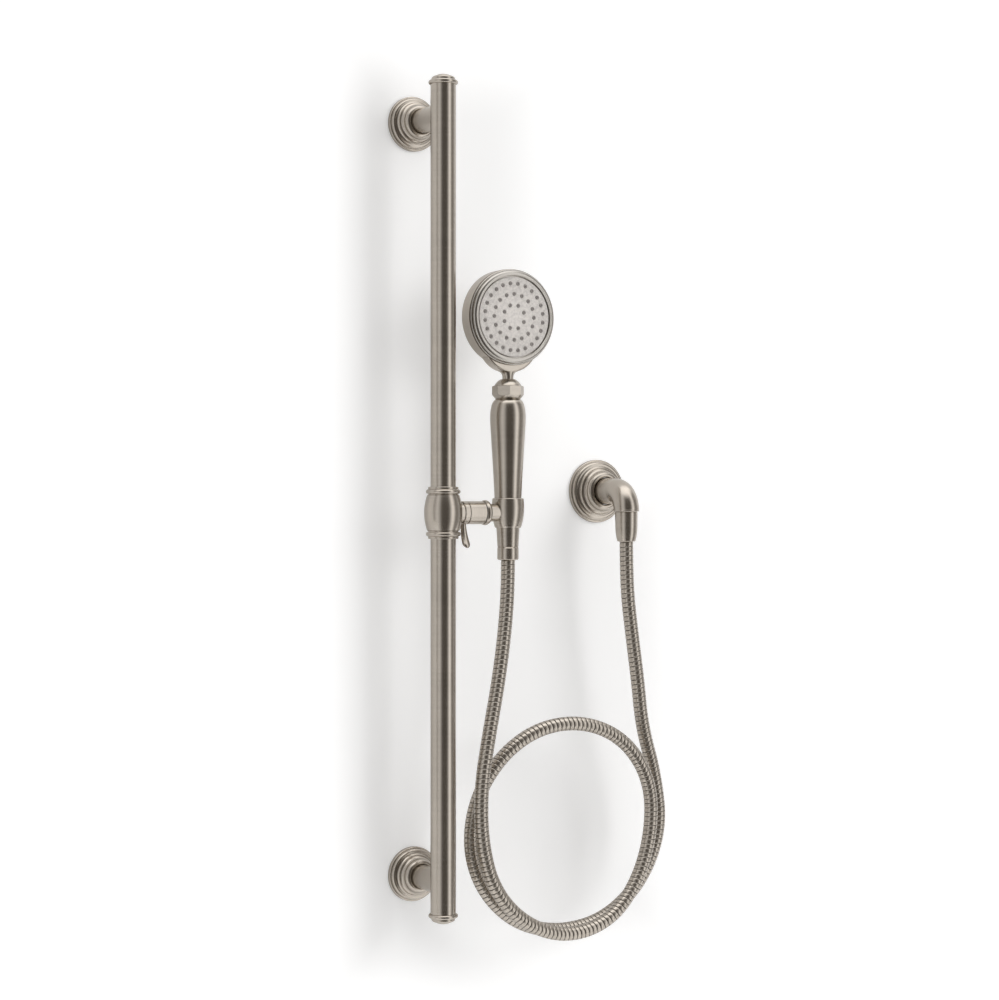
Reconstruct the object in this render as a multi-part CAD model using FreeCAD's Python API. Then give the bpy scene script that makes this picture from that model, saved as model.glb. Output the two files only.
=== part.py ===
"""Wall slide-bar hand shower, in millimetres.

The origin is the centre of the lower bracket's wall face. +Z is up along the bar,
-Y points out of the wall into the room, and +X points from the bar to the supply elbow.
"""
import FreeCAD
import Part
import math
import os

Vec = FreeCAD.Vector

# ---------------------------------------------------------------- driving dimensions
RUN_GAP = 0.05          # radial or axial clearance of parts that turn or slide on each other
SEAT_GAP = 0.1          # clearance of parts that only slip over each other

# bar and brackets
BAR_R = 12.7
BAR_WALL = 1.2
BAR_Y = -66.0           # bar axis, out from the wall
BRACKET_SPAN = 762.0
BAR_END = 30.0          # tube end beyond the bracket centre
POST_R = 11.9
POST_BORE_R = 9.0
PLATE_R = 20.0
PLATE_T = 4.0
WALL_HOLE_R = 2.6
WALL_HOLE_PITCH = 31.0
PLATE_BOSS_L = 26.0     # length of the boss that enters the post
BAR_SCREW_R = 3.0
BAR_SCREW_HEAD_R = 5.0
POST_WEB_T = 12.0       # solid end of the post behind the bar
GRUB_R = 2.0
FLANGE_R = 27.75
FLANGE_H = 21.2
PLUG_L = 22.0

# end caps
CAP_BEAD_R = BAR_R + 2.1
CAP_BEAD_T = 4.1
CAP_SHOULDER_R = BAR_R - 0.9
CAP_BUTTON_R = 7.6
CAP_H = 10.2
CAP_SPIGOT_L = 14.0
CAP_SEAL_R = 0.95       # half thickness of the round seal

# slider
SLIDER_Z = 367.3
LINER_T = 1.45
BARREL_HALF = 18.0
BARREL_END_R = BAR_R + 3.5
BARREL_MID_R = BARREL_END_R + 2.9
COLLAR_H = 7.8
COLLAR_BEAD_R = BARREL_END_R + 1.2
BOSS_R = 10.5
BOSS_X = BARREL_MID_R + 0.4
SPIGOT_R = 8.0
JOURNAL_R = 8.5
HUB_W = 6.0
SLEEVE_R = 11.6
HUB_R = SLEEVE_R
SLEEVE_END_X = 44.2
PLUNGER_R = 5.0
PLUNGER_TRAVEL = 0.6
LEVER_PIN_R = 1.2
LEVER_DROP = 35.0
LEVER_W = 5.4           # at the hub
LEVER_TIP_W = 9.0
LEVER_T = 5.0
LEVER_CURVE = 8.5       # how far the tip stands out to the front
LEVER_SWING_DEG = 70.0

# tilt ring and holder
WASHER_T = 0.7
SPINDLE_R = 6.4
SPINDLE_NOSE_R = 5.0
TILT_RING_R = 12.7
TILT_RING_T = 4.8
NECK_R = 9.0
TILT_GRUB_R = 1.5
HOLDER_X = 74.2
CUP_RIM_Z = 381.9
CUP_BOTTOM_Z = 352.0
CUP_LINER_T = 1.0
HOSE_SLOT_W = 15.6

# hose end at the hand shower
CONE_BOTTOM_Z = 333.0
CONE_TOP_Z = 380.5
CONE_BOTTOM_R = 10.65
CONE_TOP_R = 13.4
CUP_R = CONE_TOP_R + 3.0
FERRULE_BOTTOM_Z = 319.5
FERRULE_R = 10.8
STEM_R = 6.0
STEM_HEAD_R = 7.8
THREAD_R = 10.35        # half-inch pipe thread, outside radius
HOSE_R = 7.15
HOSE_BORE_R = 5.9
INSERT_L = 13.0

# handle, collar nut, neck
HANDLE_TOP_Z = 481.5
HANDLE_BOTTOM_R = 13.6
HANDLE_MAX_R = 18.05
HANDLE_MAX_Z = 465.3
HANDLE_TOP_R = 12.6
HANDLE_WALL = 2.6
HANDLE_SPIGOT_R = 10.5
TUBE_R = 6.45
TUBE_WALL = 1.2
NUT_R = 16.25           # across the eight corners
NUT_FLAT = 14.95        # centre to flat
NUT_BAND_Z0 = 486.2
NUT_BAND_Z1 = 494.5
NUT_TOP_Z = 501.7
NUT_NECK_R = 5.95
NECK_STEM_R = 5.65

# head
HEAD_Z = 563.8
HEAD_R = 48.5
DRUM_BACK = 10.0        # behind the handle axis
DRUM_FRONT = 6.8        # in front of the handle axis
DOME = 8.5
DRUM_WALL = 2.2
BEZEL_FRONT = 14.0
PLATE_FACE = 12.8
SPRAY_R = HEAD_R - 8.1
SPRAY_T = 2.2
PLATE_GROOVE = 1.0      # dark gap between the plate and its ring
NOZZLE_R = 2.0
NOZZLE_TIP = 13.7
# nozzles in a ring, the ring's radius as a share of the spray plate's, angle of the first
NOZZLE_RINGS = ((24, 0.834, 7.5), (16, 0.569, 0.0), (8, 0.302, 22.5))
SADDLE_W = 14.0
SADDLE_R = 32.5         # curve of its underside
SADDLE_DROP = 6.8       # thickness at the neck
SADDLE_HALF = 26.6      # centre to tip

# supply elbow
ELBOW_X = 220.8
ELBOW_Z = 389.4
ELBOW_Y = -60.0         # axis of the vertical leg
ELBOW_BEND_R = 20.0
ELBOW_R = 13.3
ELBOW_ROOT_R = 14.4
ELBOW_FLANGE_R = 33.5
LEG_BOTTOM_Z = 367.9
LEG_R = 12.6
INLET_Y = -6.0          # inner end of the pipe behind the flange
INLET_R = 9.55
INLET_L = 16.0
WATER_R = 7.5
OUTLET_R = 11.85
OUTLET_END_R = 11.6
OUTLET_BOTTOM_Z = 349.9
OUTLET_SPIGOT_L = 12.0
LEG_THREAD_R = 9.6
VALVE_GUIDE_Z = 358.0   # underside of the check valve's guide plate
VALVE_SEAT_T = 3.0
HOSE_NUT_BOTTOM_Z = 336.7
HOSE_NUT_R = 9.6        # at the hose
HOSE_NUT_TOP_R = 11.5

# route of the hose from the hand shower's ferrule to the nut under the elbow
HOSE_ROUTE = [
    (74.2, -66, 319.5),
    (74.2, -66, 290),
    (68.6, -68.5, 243),
    (58.6, -72.5, 193),
    (46, -76.5, 144),
    (35.5, -79, 93),
    (36.5, -79, 38),
    (51, -79, -11),
    (88, -78, -48),
    (137, -78, -65),
    (188, -78, -54),
    (222, -77, -19),
    (241, -76, 31),
    (241.5, -75, 86),
    (213, -73, 130),
    (167, -70, 152),
    (116, -65, 150),
    (73, -60, 125),
    (43, -57, 83),
    (34, -56, 33),
    (50, -56, -14),
    (88, -57, -50),
    (140, -58, -64),
    (197, -58, -55),
    (243, -57, -19),
    (266, -57, 34),
    (258, -58, 91),
    (241, -59, 142),
    (235, -60, 191),
    (227.5, -60, 241),
    (220.8, -60, 292),
    (220.8, -60, 336.7),
]

parts = {}


# ---------------------------------------------------------------- shape helpers
def open_edges(start, steps):
    """Edges from a start point through steps: a point is a line, a pair (mid, end) is an arc."""
    here = Vec(start[0], 0, start[1])
    edges = []
    for step in steps:
        if isinstance(step[0], tuple):
            mid = Vec(step[0][0], 0, step[0][1])
            end = Vec(step[1][0], 0, step[1][1])
            edges.append(Part.Arc(here, mid, end).toShape())
        else:
            end = Vec(step[0], 0, step[1])
            edges.append(Part.makeLine(here, end))
        here = end
    return edges


def wire_edges(start, steps):
    """The same edges, closed with a line back to the start where they don't end there."""
    last = steps[-1][1] if isinstance(steps[-1][0], tuple) else steps[-1]
    return open_edges(start, steps if last == start else steps + [start])


def place(shape, base, axis):
    """Move a shape built about +Z at the origin so that its axis points along axis from base."""
    shape.Placement = FreeCAD.Placement(Vec(*base), FreeCAD.Rotation(Vec(0, 0, 1), Vec(*axis)))
    return shape


def turned(start, steps, base=(0, 0, 0), axis=(0, 0, 1)):
    """Solid of revolution from an outline in (radius, height)."""
    face = Part.Face(Part.Wire(wire_edges(start, steps)))
    return place(face.revolve(Vec(0, 0, 0), Vec(0, 0, 1), 360), base, axis)


def rod(radius, length, base=(0, 0, 0), axis=(0, 0, 1)):
    """Solid cylinder."""
    return Part.makeCylinder(radius, length, Vec(*base), Vec(*axis))


def taper(start_r, end_r, length, base, axis):
    """Solid cone stump, or a cylinder where the radii are equal."""
    return turned((0, 0), [(start_r, 0), (end_r, length), (0, length)], base, axis)


def ring(outer, inner, height, base=(0, 0, 0), axis=(0, 0, 1)):
    """Flat ring or tube."""
    return rod(outer, height, base, axis).cut(rod(inner, height, base, axis))


def oring(centre_r, section_r, base, axis):
    """Round seal about a point."""
    return Part.makeTorus(centre_r, section_r, Vec(*base), Vec(*axis))


def block(x, y, z):
    """Box from three (low, high) ranges."""
    return Part.makeBox(x[1] - x[0], y[1] - y[0], z[1] - z[0], Vec(x[0], y[0], z[0]))


def group(shapes):
    """Several separate solids in one node."""
    return Part.makeCompound(shapes)


# ---------------------------------------------------------------- bar and brackets
BRACKETS = (("lower", 0.0, -1), ("upper", BRACKET_SPAN, 1))
BAR_BORE_R = BAR_R - BAR_WALL
BAR_FROM_WALL = -BAR_Y
WALL_AXIS = (0, -1, 0)


def slide_bar():
    bar = ring(BAR_R, BAR_BORE_R, BRACKET_SPAN + 2 * BAR_END, (0, BAR_Y, -BAR_END))
    for _, z, _ in BRACKETS:
        bar = bar.cut(rod(BAR_SCREW_R + SEAT_GAP, BAR_R, (0, BAR_Y, z), (0, 1, 0)))
    return bar


def bar_plugs():
    """Threaded plugs inside the bar that take the bar screws."""
    plugs = []
    for _, z, _ in BRACKETS:
        plug = rod(BAR_BORE_R - RUN_GAP, PLUG_L, (0, BAR_Y, z - PLUG_L / 2))
        plugs.append(plug.cut(rod(BAR_SCREW_R, BAR_R, (0, BAR_Y, z), (0, 1, 0))))
    return group(plugs)


def post(z):
    """Tube with a solid end that is coped to the bar."""
    web = BAR_FROM_WALL - BAR_R - POST_WEB_T
    body = rod(POST_R, BAR_FROM_WALL - PLATE_T, (0, -PLATE_T, z), WALL_AXIS)
    body = body.cut(rod(BAR_R, 4 * POST_R, (0, BAR_Y, z - 2 * POST_R)))
    body = body.cut(rod(POST_BORE_R, web, (0, 0, z), WALL_AXIS))
    body = body.cut(rod(BAR_SCREW_R + SEAT_GAP, BAR_FROM_WALL, (0, 0, z), WALL_AXIS))
    body = body.cut(rod(GRUB_R, POST_R + 1, (0, -GRUB_Y, z), (0, 0, -1)))
    solids = sorted(body.Solids, key=lambda s: s.Volume)
    return solids[-1]


GRUB_Y = PLATE_T + PLATE_BOSS_L - 5.0


def bar_screw(z):
    web = BAR_FROM_WALL - BAR_R - POST_WEB_T
    head = rod(BAR_SCREW_HEAD_R, 3.5, (0, -web, z), (0, 1, 0))
    socket = rod(2.0, 2.0, (0, -web + 3.5, z), (0, -1, 0))
    shank = rod(BAR_SCREW_R, POST_WEB_T + BAR_R - 2, (0, -web, z), WALL_AXIS)
    return head.fuse(shank).cut(socket).removeSplitter()


def wall_plate(z):
    """Disc on the wall with two screw holes and a boss for the post."""
    plate = turned((0, 0), [(PLATE_R, 0), (PLATE_R, PLATE_T), (POST_BORE_R - SEAT_GAP, PLATE_T),
                            (POST_BORE_R - SEAT_GAP, PLATE_T + PLATE_BOSS_L - 1),
                            (POST_BORE_R - 1 - SEAT_GAP, PLATE_T + PLATE_BOSS_L),
                            (0, PLATE_T + PLATE_BOSS_L)], (0, 0, z), WALL_AXIS)
    for side in (-1, 1):
        hole_x = side * WALL_HOLE_PITCH / 2
        plate = plate.cut(rod(WALL_HOLE_R, PLATE_T, (hole_x, 0, z), WALL_AXIS))
    return plate


def grub_screw(z):
    """Set screw from below through the post onto the plate's boss."""
    top = POST_BORE_R - SEAT_GAP
    screw = rod(GRUB_R, POST_R - top - 0.2, (0, -GRUB_Y, z - top), (0, 0, -1))
    return screw.cut(rod(1.0, 1.2, (0, -GRUB_Y, z - POST_R + 0.2), (0, 0, 1)))


def stepped_flange(outer_r, height, bore_r, base):
    """Hollow wall flange: low rim, broad ring, cove, fine ridge, second cove and a full hub."""
    k = outer_r - bore_r

    def at(share, level):
        return (bore_r + k * share, height * level)

    outline = [
        at(1.0, 0.13),
        (at(0.975, 0.19), at(0.90, 0.21)),
        at(0.885, 0.25),
        (at(0.79, 0.35), at(0.67, 0.365)),
        (at(0.56, 0.41), at(0.50, 0.54)),
        at(0.455, 0.56),
        (at(0.37, 0.62), at(0.32, 0.77)),
        (at(0.24, 0.95), at(0.11, 1.0)),
        (at(0.03, 0.98), at(0.0, 0.91)),
        at(0.0, 0.78),
        at(0.12, 0.72),
        (at(0.17, 0.50), at(0.34, 0.38)),
        at(0.44, 0.28),
        at(0.62, 0.20),
        at(0.86, 0.11),
        at(0.90, 0.0),
    ]
    return turned(at(1.0, 0.0), outline, base, WALL_AXIS)


def end_cap(z, up):
    """Bead, shoulder and button above a spigot that carries the seal."""
    groove = CAP_SPIGOT_L / 2
    spigot_r = BAR_BORE_R - SEAT_GAP
    steps = [
        (spigot_r, -CAP_SPIGOT_L),
        (spigot_r, -groove - 1.2),
        (spigot_r - 2.0, -groove - 1.2),
        (spigot_r - 2.0, -groove + 1.2),
        (spigot_r, -groove + 1.2),
        (spigot_r, 0),
        (CAP_BEAD_R - 1.4, 0),
        ((CAP_BEAD_R, CAP_BEAD_T / 2), (CAP_BEAD_R - 1.4, CAP_BEAD_T)),
        (CAP_SHOULDER_R, CAP_BEAD_T + 0.4),
        (CAP_SHOULDER_R, CAP_BEAD_T + 2.0),
        ((CAP_SHOULDER_R - 0.9, CAP_BEAD_T + 3.2), (CAP_BUTTON_R + 0.4, CAP_BEAD_T + 3.9)),
        (CAP_BUTTON_R, CAP_BEAD_T + 4.6),
        ((CAP_BUTTON_R * 0.78, CAP_H - 0.7), (1.0, CAP_H)),
        (0, CAP_H),
    ]
    return turned((0, -CAP_SPIGOT_L), steps, (0, BAR_Y, z), (0, 0, up))


def cap_seal(z, up):
    centre = BAR_BORE_R - SEAT_GAP - CAP_SEAL_R
    return oring(centre, CAP_SEAL_R, (0, BAR_Y, z - up * CAP_SPIGOT_L / 2), (0, 0, 1))


def make_bar_set():
    parts["slide_bar"] = slide_bar()
    parts["bar_plugs"] = bar_plugs()
    for name, z, up in BRACKETS:
        end = z + up * BAR_END
        parts[name + "_post"] = post(z)
        parts[name + "_wall_plate"] = wall_plate(z)
        parts[name + "_flange"] = stepped_flange(FLANGE_R, FLANGE_H, POST_R + SEAT_GAP, (0, 0, z))
        parts[name + "_end_cap"] = end_cap(end, up)
        parts[name + "_cap_seal"] = cap_seal(end, up)
    parts["bar_screws"] = group([bar_screw(z) for _, z, _ in BRACKETS])
    parts["post_grub_screws"] = group([grub_screw(z) for _, z, _ in BRACKETS])


# ---------------------------------------------------------------- slider on the bar
LINER_IN_R = BAR_R + RUN_GAP
LINER_OUT_R = LINER_IN_R + LINER_T
BARREL_BORE_R = LINER_OUT_R + RUN_GAP
HUB_X = BOSS_X + SEAT_GAP
HUB_MID_X = HUB_X + SEAT_GAP + HUB_W / 2
SLEEVE_X = HUB_X + HUB_W + 2 * SEAT_GAP
ARM = (1, 0, 0)


def on_arm(x):
    """Point on the arm's axis at a distance from the bar's axis."""
    return (x, BAR_Y, SLIDER_Z)


def slider_liner():
    """Split plastic sleeve that runs on the bar."""
    half = BARREL_HALF - RUN_GAP
    liner = ring(LINER_OUT_R, LINER_IN_R, 2 * half, (0, BAR_Y, SLIDER_Z - half))
    slit = block((-LINER_OUT_R - 1, 0), (BAR_Y - 0.7, BAR_Y + 0.7),
                 (SLIDER_Z - half - 1, SLIDER_Z + half + 1))
    return liner.cut(slit)


def slider_barrel():
    """Barrel body with a short boss for the arm."""
    skin = turned((0, -BARREL_HALF),
                  [(BARREL_END_R - 0.6, -BARREL_HALF),
                   (BARREL_END_R, -BARREL_HALF + 0.6),
                   ((BARREL_MID_R, 0), (BARREL_END_R, BARREL_HALF - 0.6)),
                   (BARREL_END_R - 0.6, BARREL_HALF),
                   (0, BARREL_HALF)], (0, BAR_Y, SLIDER_Z))
    body = skin.fuse(rod(BOSS_R, BOSS_X, on_arm(0), ARM))
    body = body.cut(rod(BARREL_BORE_R, 2 * BARREL_HALF, (0, BAR_Y, SLIDER_Z - BARREL_HALF)))
    return body.cut(rod(SPIGOT_R, BOSS_X, on_arm(0), ARM))


def slider_collar(side):
    """Beaded end collar that keeps the liner in the barrel."""
    bore = LINER_IN_R + 0.2
    steps = [
        (BARREL_END_R - 1.2, 0),
        (BARREL_END_R - 1.2, 0.9),
        (COLLAR_BEAD_R - 1.3, 0.9),
        ((COLLAR_BEAD_R, 3.1), (COLLAR_BEAD_R - 1.5, 5.2)),
        (BARREL_END_R - 1.0, 5.5),
        (BARREL_END_R - 1.0, COLLAR_H - 0.4),
        (BARREL_END_R - 1.4, COLLAR_H),
        (bore, COLLAR_H),
    ]
    return turned((bore, 0), steps, (0, BAR_Y, SLIDER_Z + side * BARREL_HALF), (0, 0, side))


def arm_sleeve():
    """Spigot into the barrel, journal for the lever's hub, and the arm's outer sleeve."""
    split = 28.5
    steps = [
        (SPIGOT_R - RUN_GAP, LINER_OUT_R + 0.4),
        (SPIGOT_R - RUN_GAP, BOSS_X),
        (JOURNAL_R, BOSS_X),
        (JOURNAL_R, SLEEVE_X),
        (SLEEVE_R - 0.5, SLEEVE_X),
        (SLEEVE_R, SLEEVE_X + 0.5),
        (SLEEVE_R, SLEEVE_END_X - 0.5),
        (SLEEVE_R - 0.5, SLEEVE_END_X),
        (SPINDLE_R + RUN_GAP, SLEEVE_END_X),
        (SPINDLE_R + RUN_GAP, split + 1.2),
        (PLUNGER_R + RUN_GAP, split),
    ]
    body = turned((PLUNGER_R + RUN_GAP, LINER_OUT_R + 0.4), steps, on_arm(0), ARM)
    body = body.cut(rod(TILT_GRUB_R + RUN_GAP, SLEEVE_R + 1, on_arm(TILT_GRUB_X), (0, 1, 0)))
    return body.cut(pin_slot())


def pin_slot():
    """Slot through the journal in which the lever's pin swings."""
    half = LEVER_PIN_R + SEAT_GAP
    face = Part.Face(Part.Wire(wire_edges((PLUNGER_R - 1, -half), [
        (JOURNAL_R + 1, -half), (JOURNAL_R + 1, half), (PLUNGER_R - 1, half)])))
    slot = face.revolve(Vec(0, 0, 0), Vec(0, 0, 1), LEVER_SWING_DEG + 40)
    start = FreeCAD.Rotation(Vec(0, 0, 1), 160 - LEVER_SWING_DEG)
    along = FreeCAD.Rotation(Vec(0, 0, 1), Vec(*ARM))
    slot.Placement = FreeCAD.Placement(Vec(*on_arm(HUB_MID_X)), along.multiply(start))
    return slot


def brake_plunger():
    """Plunger that the lever drives onto the liner."""
    length = HUB_MID_X + LEVER_PIN_R + 3
    body = rod(PLUNGER_R, length, on_arm(0), ARM)
    body = body.cut(rod(LINER_OUT_R + RUN_GAP, 40, (0, BAR_Y, SLIDER_Z - 20)))
    start = HUB_MID_X - LEVER_PIN_R - PLUNGER_TRAVEL - 2 * SEAT_GAP
    width = 2 * LEVER_PIN_R + PLUNGER_TRAVEL + 4 * SEAT_GAP
    return body.cut(ring(PLUNGER_R + 1, PLUNGER_R - 1.4, width, on_arm(start), ARM))


def lever_pin():
    """Steel pin from the lever's hub into the plunger's groove."""
    low = PLUNGER_R - 1.2
    return rod(LEVER_PIN_R, HUB_R - 1.0 - low, (HUB_MID_X, BAR_Y, SLIDER_Z + low))


def lock_lever():
    """Hub ring round the journal with a curved thumb lever below it that widens to its tip."""
    hub = turned((JOURNAL_R + RUN_GAP, 0), [
        (HUB_R - 0.7, 0), (HUB_R, 0.7), (HUB_R, HUB_W - 0.7), (HUB_R - 0.7, HUB_W),
        (JOURNAL_R + RUN_GAP, HUB_W)], on_arm(HUB_X + SEAT_GAP), ARM)
    blade = Part.makeLoft([blade_section(k / 10.0) for k in range(11)], True)
    lever = hub.fuse(blade).removeSplitter()
    return lever.cut(rod(LEVER_PIN_R, HUB_R - 1.0, (HUB_MID_X, BAR_Y, SLIDER_Z)))


def blade_section(share):
    """Oval section of the thumb lever, from inside the hub (0) to its rounded tip (1)."""
    top = -HUB_R + 2.0
    z = SLIDER_Z + top - share * (LEVER_DROP + top)
    y = BAR_Y - LEVER_CURVE * share ** 2
    round_off = math.sqrt(1 - min(1.0, max(0.0, share - 0.8) / 0.205) ** 2)
    half_y = LEVER_T / 2 * round_off
    half_x = (LEVER_W + share * (LEVER_TIP_W - LEVER_W)) / 2 * round_off
    centre = Vec(HUB_MID_X, y, z)
    return Part.Wire(Part.Ellipse(centre + Vec(half_x, 0, 0), centre + Vec(0, half_y, 0), centre).toShape())


TILT_GRUB_X = 37.7


def tilt_grub_screw():
    """Set screw whose tip runs in the tilt spindle's groove."""
    tip = SPINDLE_R - 1.0
    screw = rod(TILT_GRUB_R, SLEEVE_R - 0.4 - tip, on_arm(TILT_GRUB_X), (0, 1, 0))
    screw.translate(Vec(0, tip, 0))
    return screw.cut(rod(0.8, 1.2, (TILT_GRUB_X, BAR_Y + SLEEVE_R - 1.6, SLIDER_Z), (0, 1, 0)))


def make_slider():
    parts["slider_liner"] = slider_liner()
    parts["slider_barrel"] = slider_barrel()
    parts["upper_collar"] = slider_collar(1)
    parts["lower_collar"] = slider_collar(-1)
    parts["arm_sleeve"] = arm_sleeve()
    parts["brake_plunger"] = brake_plunger()
    parts["lock_lever"] = lock_lever()
    parts["lever_pin"] = lever_pin()
    parts["tilt_grub_screw"] = tilt_grub_screw()


# ---------------------------------------------------------------- tilting holder
RING_X = SLEEVE_END_X + WASHER_T + 2 * RUN_GAP
RING_END_X = RING_X + TILT_RING_T


def cone_r(z):
    """Radius of the hose cone at a height."""
    share = (z - CONE_BOTTOM_Z) / (CONE_TOP_Z - CONE_BOTTOM_Z)
    return CONE_BOTTOM_R + share * (CONE_TOP_R - CONE_BOTTOM_R)


def holder_axis(z):
    return (HOLDER_X, BAR_Y, z)


def friction_washer():
    return ring(SLEEVE_R - 1.0, SPINDLE_R + RUN_GAP, WASHER_T, on_arm(SLEEVE_END_X + RUN_GAP), ARM)


def tilt_spindle():
    """Stepped shaft from inside the arm sleeve to the cup's neck."""
    start = 30.5
    nose = HOLDER_X - CUP_R - 1.2
    steps = [
        (SPINDLE_R, start),
        (SPINDLE_R, TILT_GRUB_X - 1.8),
        (SPINDLE_R - 1.15, TILT_GRUB_X - 1.8),
        (SPINDLE_R - 1.15, TILT_GRUB_X + 1.8),
        (SPINDLE_R, TILT_GRUB_X + 1.8),
        (SPINDLE_R, RING_END_X),
        (SPINDLE_NOSE_R, RING_END_X),
        (SPINDLE_NOSE_R, nose),
        (0, nose),
    ]
    return turned((0, start), steps, on_arm(0), ARM)


def tilt_ring():
    """Flange ring between the sleeve and the cup's neck."""
    steps = [
        (TILT_RING_R - 0.9, 0),
        ((TILT_RING_R, TILT_RING_T / 2), (TILT_RING_R - 0.9, TILT_RING_T)),
        (SPINDLE_R, TILT_RING_T),
    ]
    return turned((SPINDLE_R, 0), steps, on_arm(RING_X), ARM)


def cup_skin():
    """Outer form of the cup, solid."""
    steps = [
        (CUP_R - 3.4, CUP_BOTTOM_Z),
        (CUP_R - 2.7, CUP_BOTTOM_Z + 1.6),
        ((CUP_R, CUP_BOTTOM_Z + 19), (CUP_R - 0.5, CUP_RIM_Z - 1.4)),
        ((CUP_R - 0.7, CUP_RIM_Z - 0.4), (CUP_R - 1.3, CUP_RIM_Z)),
        (0, CUP_RIM_Z),
    ]
    return turned((0, CUP_BOTTOM_Z), steps, holder_axis(0))


def hose_slot():
    """Clear way for the hose through the side of the cup."""
    return block((HOLDER_X, HOLDER_X + 2 * CUP_R), (BAR_Y - HOSE_SLOT_W / 2, BAR_Y + HOSE_SLOT_W / 2),
                 (CUP_BOTTOM_Z - 1, CUP_RIM_Z + 1))


def holder_cup():
    """Open cup with a neck for the tilt spindle."""
    liner_z = CUP_BOTTOM_Z + 2.5
    wall = RUN_GAP + CUP_LINER_T
    skin = cup_skin()
    neck = rod(NECK_R, HOLDER_X - RING_END_X, on_arm(RING_END_X), ARM)
    body = skin.fuse(neck)
    cavity = turned((0, CUP_BOTTOM_Z - 1), [
        (cone_r(CUP_BOTTOM_Z) + 0.4, CUP_BOTTOM_Z - 1),
        (cone_r(liner_z) + 0.4, liner_z),
        (cone_r(liner_z) + wall, liner_z),
        (cone_r(CUP_RIM_Z + 1) + wall, CUP_RIM_Z + 1),
        (0, CUP_RIM_Z + 1)], holder_axis(0))
    body = body.cut(cavity).cut(hose_slot())
    return body.cut(rod(SPINDLE_NOSE_R, HOLDER_X - CUP_R - 1.0 - RING_END_X, on_arm(RING_END_X), ARM))


def cup_liner():
    """Plastic liner between the cup and the hose cone."""
    low = CUP_BOTTOM_Z + 2.5
    top = CONE_TOP_Z - 0.3
    liner = turned((cone_r(low) + RUN_GAP, low), [
        (cone_r(low) + RUN_GAP + CUP_LINER_T, low),
        (cone_r(top) + RUN_GAP + CUP_LINER_T, top),
        (cone_r(top) + RUN_GAP, top)], holder_axis(0))
    return liner.cut(hose_slot())


def make_holder():
    parts["friction_washer"] = friction_washer()
    parts["tilt_spindle"] = tilt_spindle()
    parts["tilt_ring"] = tilt_ring()
    parts["holder_cup"] = holder_cup()
    parts["cup_liner"] = cup_liner()


# ---------------------------------------------------------------- hose end at the hand shower
STEM_TOP_Z = CONE_BOTTOM_Z + 10.0
SEAL_Z = STEM_TOP_Z + RUN_GAP
THREAD_Z = SEAL_Z + 2.0
REGULATOR_Z = THREAD_Z + 3.0


def hose_ferrule():
    """Ferrule crimped on the hose, with a swivel stem that stands in the cone."""
    top = CONE_BOTTOM_Z - RUN_GAP
    steps = [
        (FERRULE_R - 1.6, FERRULE_BOTTOM_Z),
        ((FERRULE_R - 0.4, FERRULE_BOTTOM_Z + 0.6), (FERRULE_R, FERRULE_BOTTOM_Z + 2.2)),
        (FERRULE_R, top - 1.4),
        (FERRULE_R - 0.8, top),
        (STEM_R, top),
        (STEM_R, STEM_TOP_Z - 2.0),
        (STEM_HEAD_R, STEM_TOP_Z - 2.0),
        (STEM_HEAD_R, STEM_TOP_Z),
        (3.2, STEM_TOP_Z),
        (3.2, FERRULE_BOTTOM_Z + 3.0),
        (HOSE_BORE_R - 0.1, FERRULE_BOTTOM_Z + 3.0),
        (HOSE_BORE_R - 0.1, FERRULE_BOTTOM_Z),
    ]
    return turned((HOSE_BORE_R - 0.1, FERRULE_BOTTOM_Z), steps, holder_axis(0))


def cone_nut():
    """Tapered nut that sits in the cup and screws onto the hand shower."""
    shoulder = STEM_TOP_Z - 2.0 - RUN_GAP
    steps = [
        (CONE_TOP_R, CONE_TOP_Z),
        (THREAD_R, CONE_TOP_Z),
        (THREAD_R, THREAD_Z),
        (STEM_HEAD_R + RUN_GAP, THREAD_Z),
        (STEM_HEAD_R + RUN_GAP, shoulder),
        (STEM_R + RUN_GAP, shoulder),
        (STEM_R + RUN_GAP, CONE_BOTTOM_Z),
    ]
    return turned((CONE_BOTTOM_R, CONE_BOTTOM_Z), steps, holder_axis(0))


def inlet_stem():
    """Threaded tube that joins the cone nut to the handle."""
    top = CONE_TOP_Z + 13.0
    body = ring(THREAD_R, TUBE_R, top - THREAD_Z, holder_axis(THREAD_Z))
    return body.cut(rod(STEM_HEAD_R, 7.0, holder_axis(THREAD_Z)))


def flow_regulator():
    """Disc with a small central way and a ring of notches."""
    disc = ring(STEM_HEAD_R - RUN_GAP, 2.0, 3.9, holder_axis(REGULATOR_Z))
    for k in range(6):
        a = math.radians(60 * k)
        place_at = (HOLDER_X + 5.0 * math.cos(a), BAR_Y + 5.0 * math.sin(a), REGULATOR_Z)
        disc = disc.cut(rod(0.7, 3.9, place_at))
    return disc


def inlet_filter():
    """Domed strainer below the regulator."""
    low = THREAD_Z + 0.1
    steps = [
        (STEM_HEAD_R - RUN_GAP, low),
        (STEM_HEAD_R - RUN_GAP, low + 0.8),
        (STEM_HEAD_R - 1.6, low + 0.8),
        ((4.2, low + 2.2), (1.0, low + 2.7)),
        (0, low + 2.7),
        (0, low + 2.1),
        (1.0, low + 2.1),
        ((3.9, low + 1.5), (STEM_HEAD_R - 2.2, low)),
    ]
    dome = turned((STEM_HEAD_R - 2.2, low), steps, holder_axis(0))
    for k in range(8):
        a = math.radians(45 * k)
        spot = (HOLDER_X + 3.2 * math.cos(a), BAR_Y + 3.2 * math.sin(a), low)
        dome = dome.cut(rod(0.55, 4, spot))
    return dome


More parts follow.
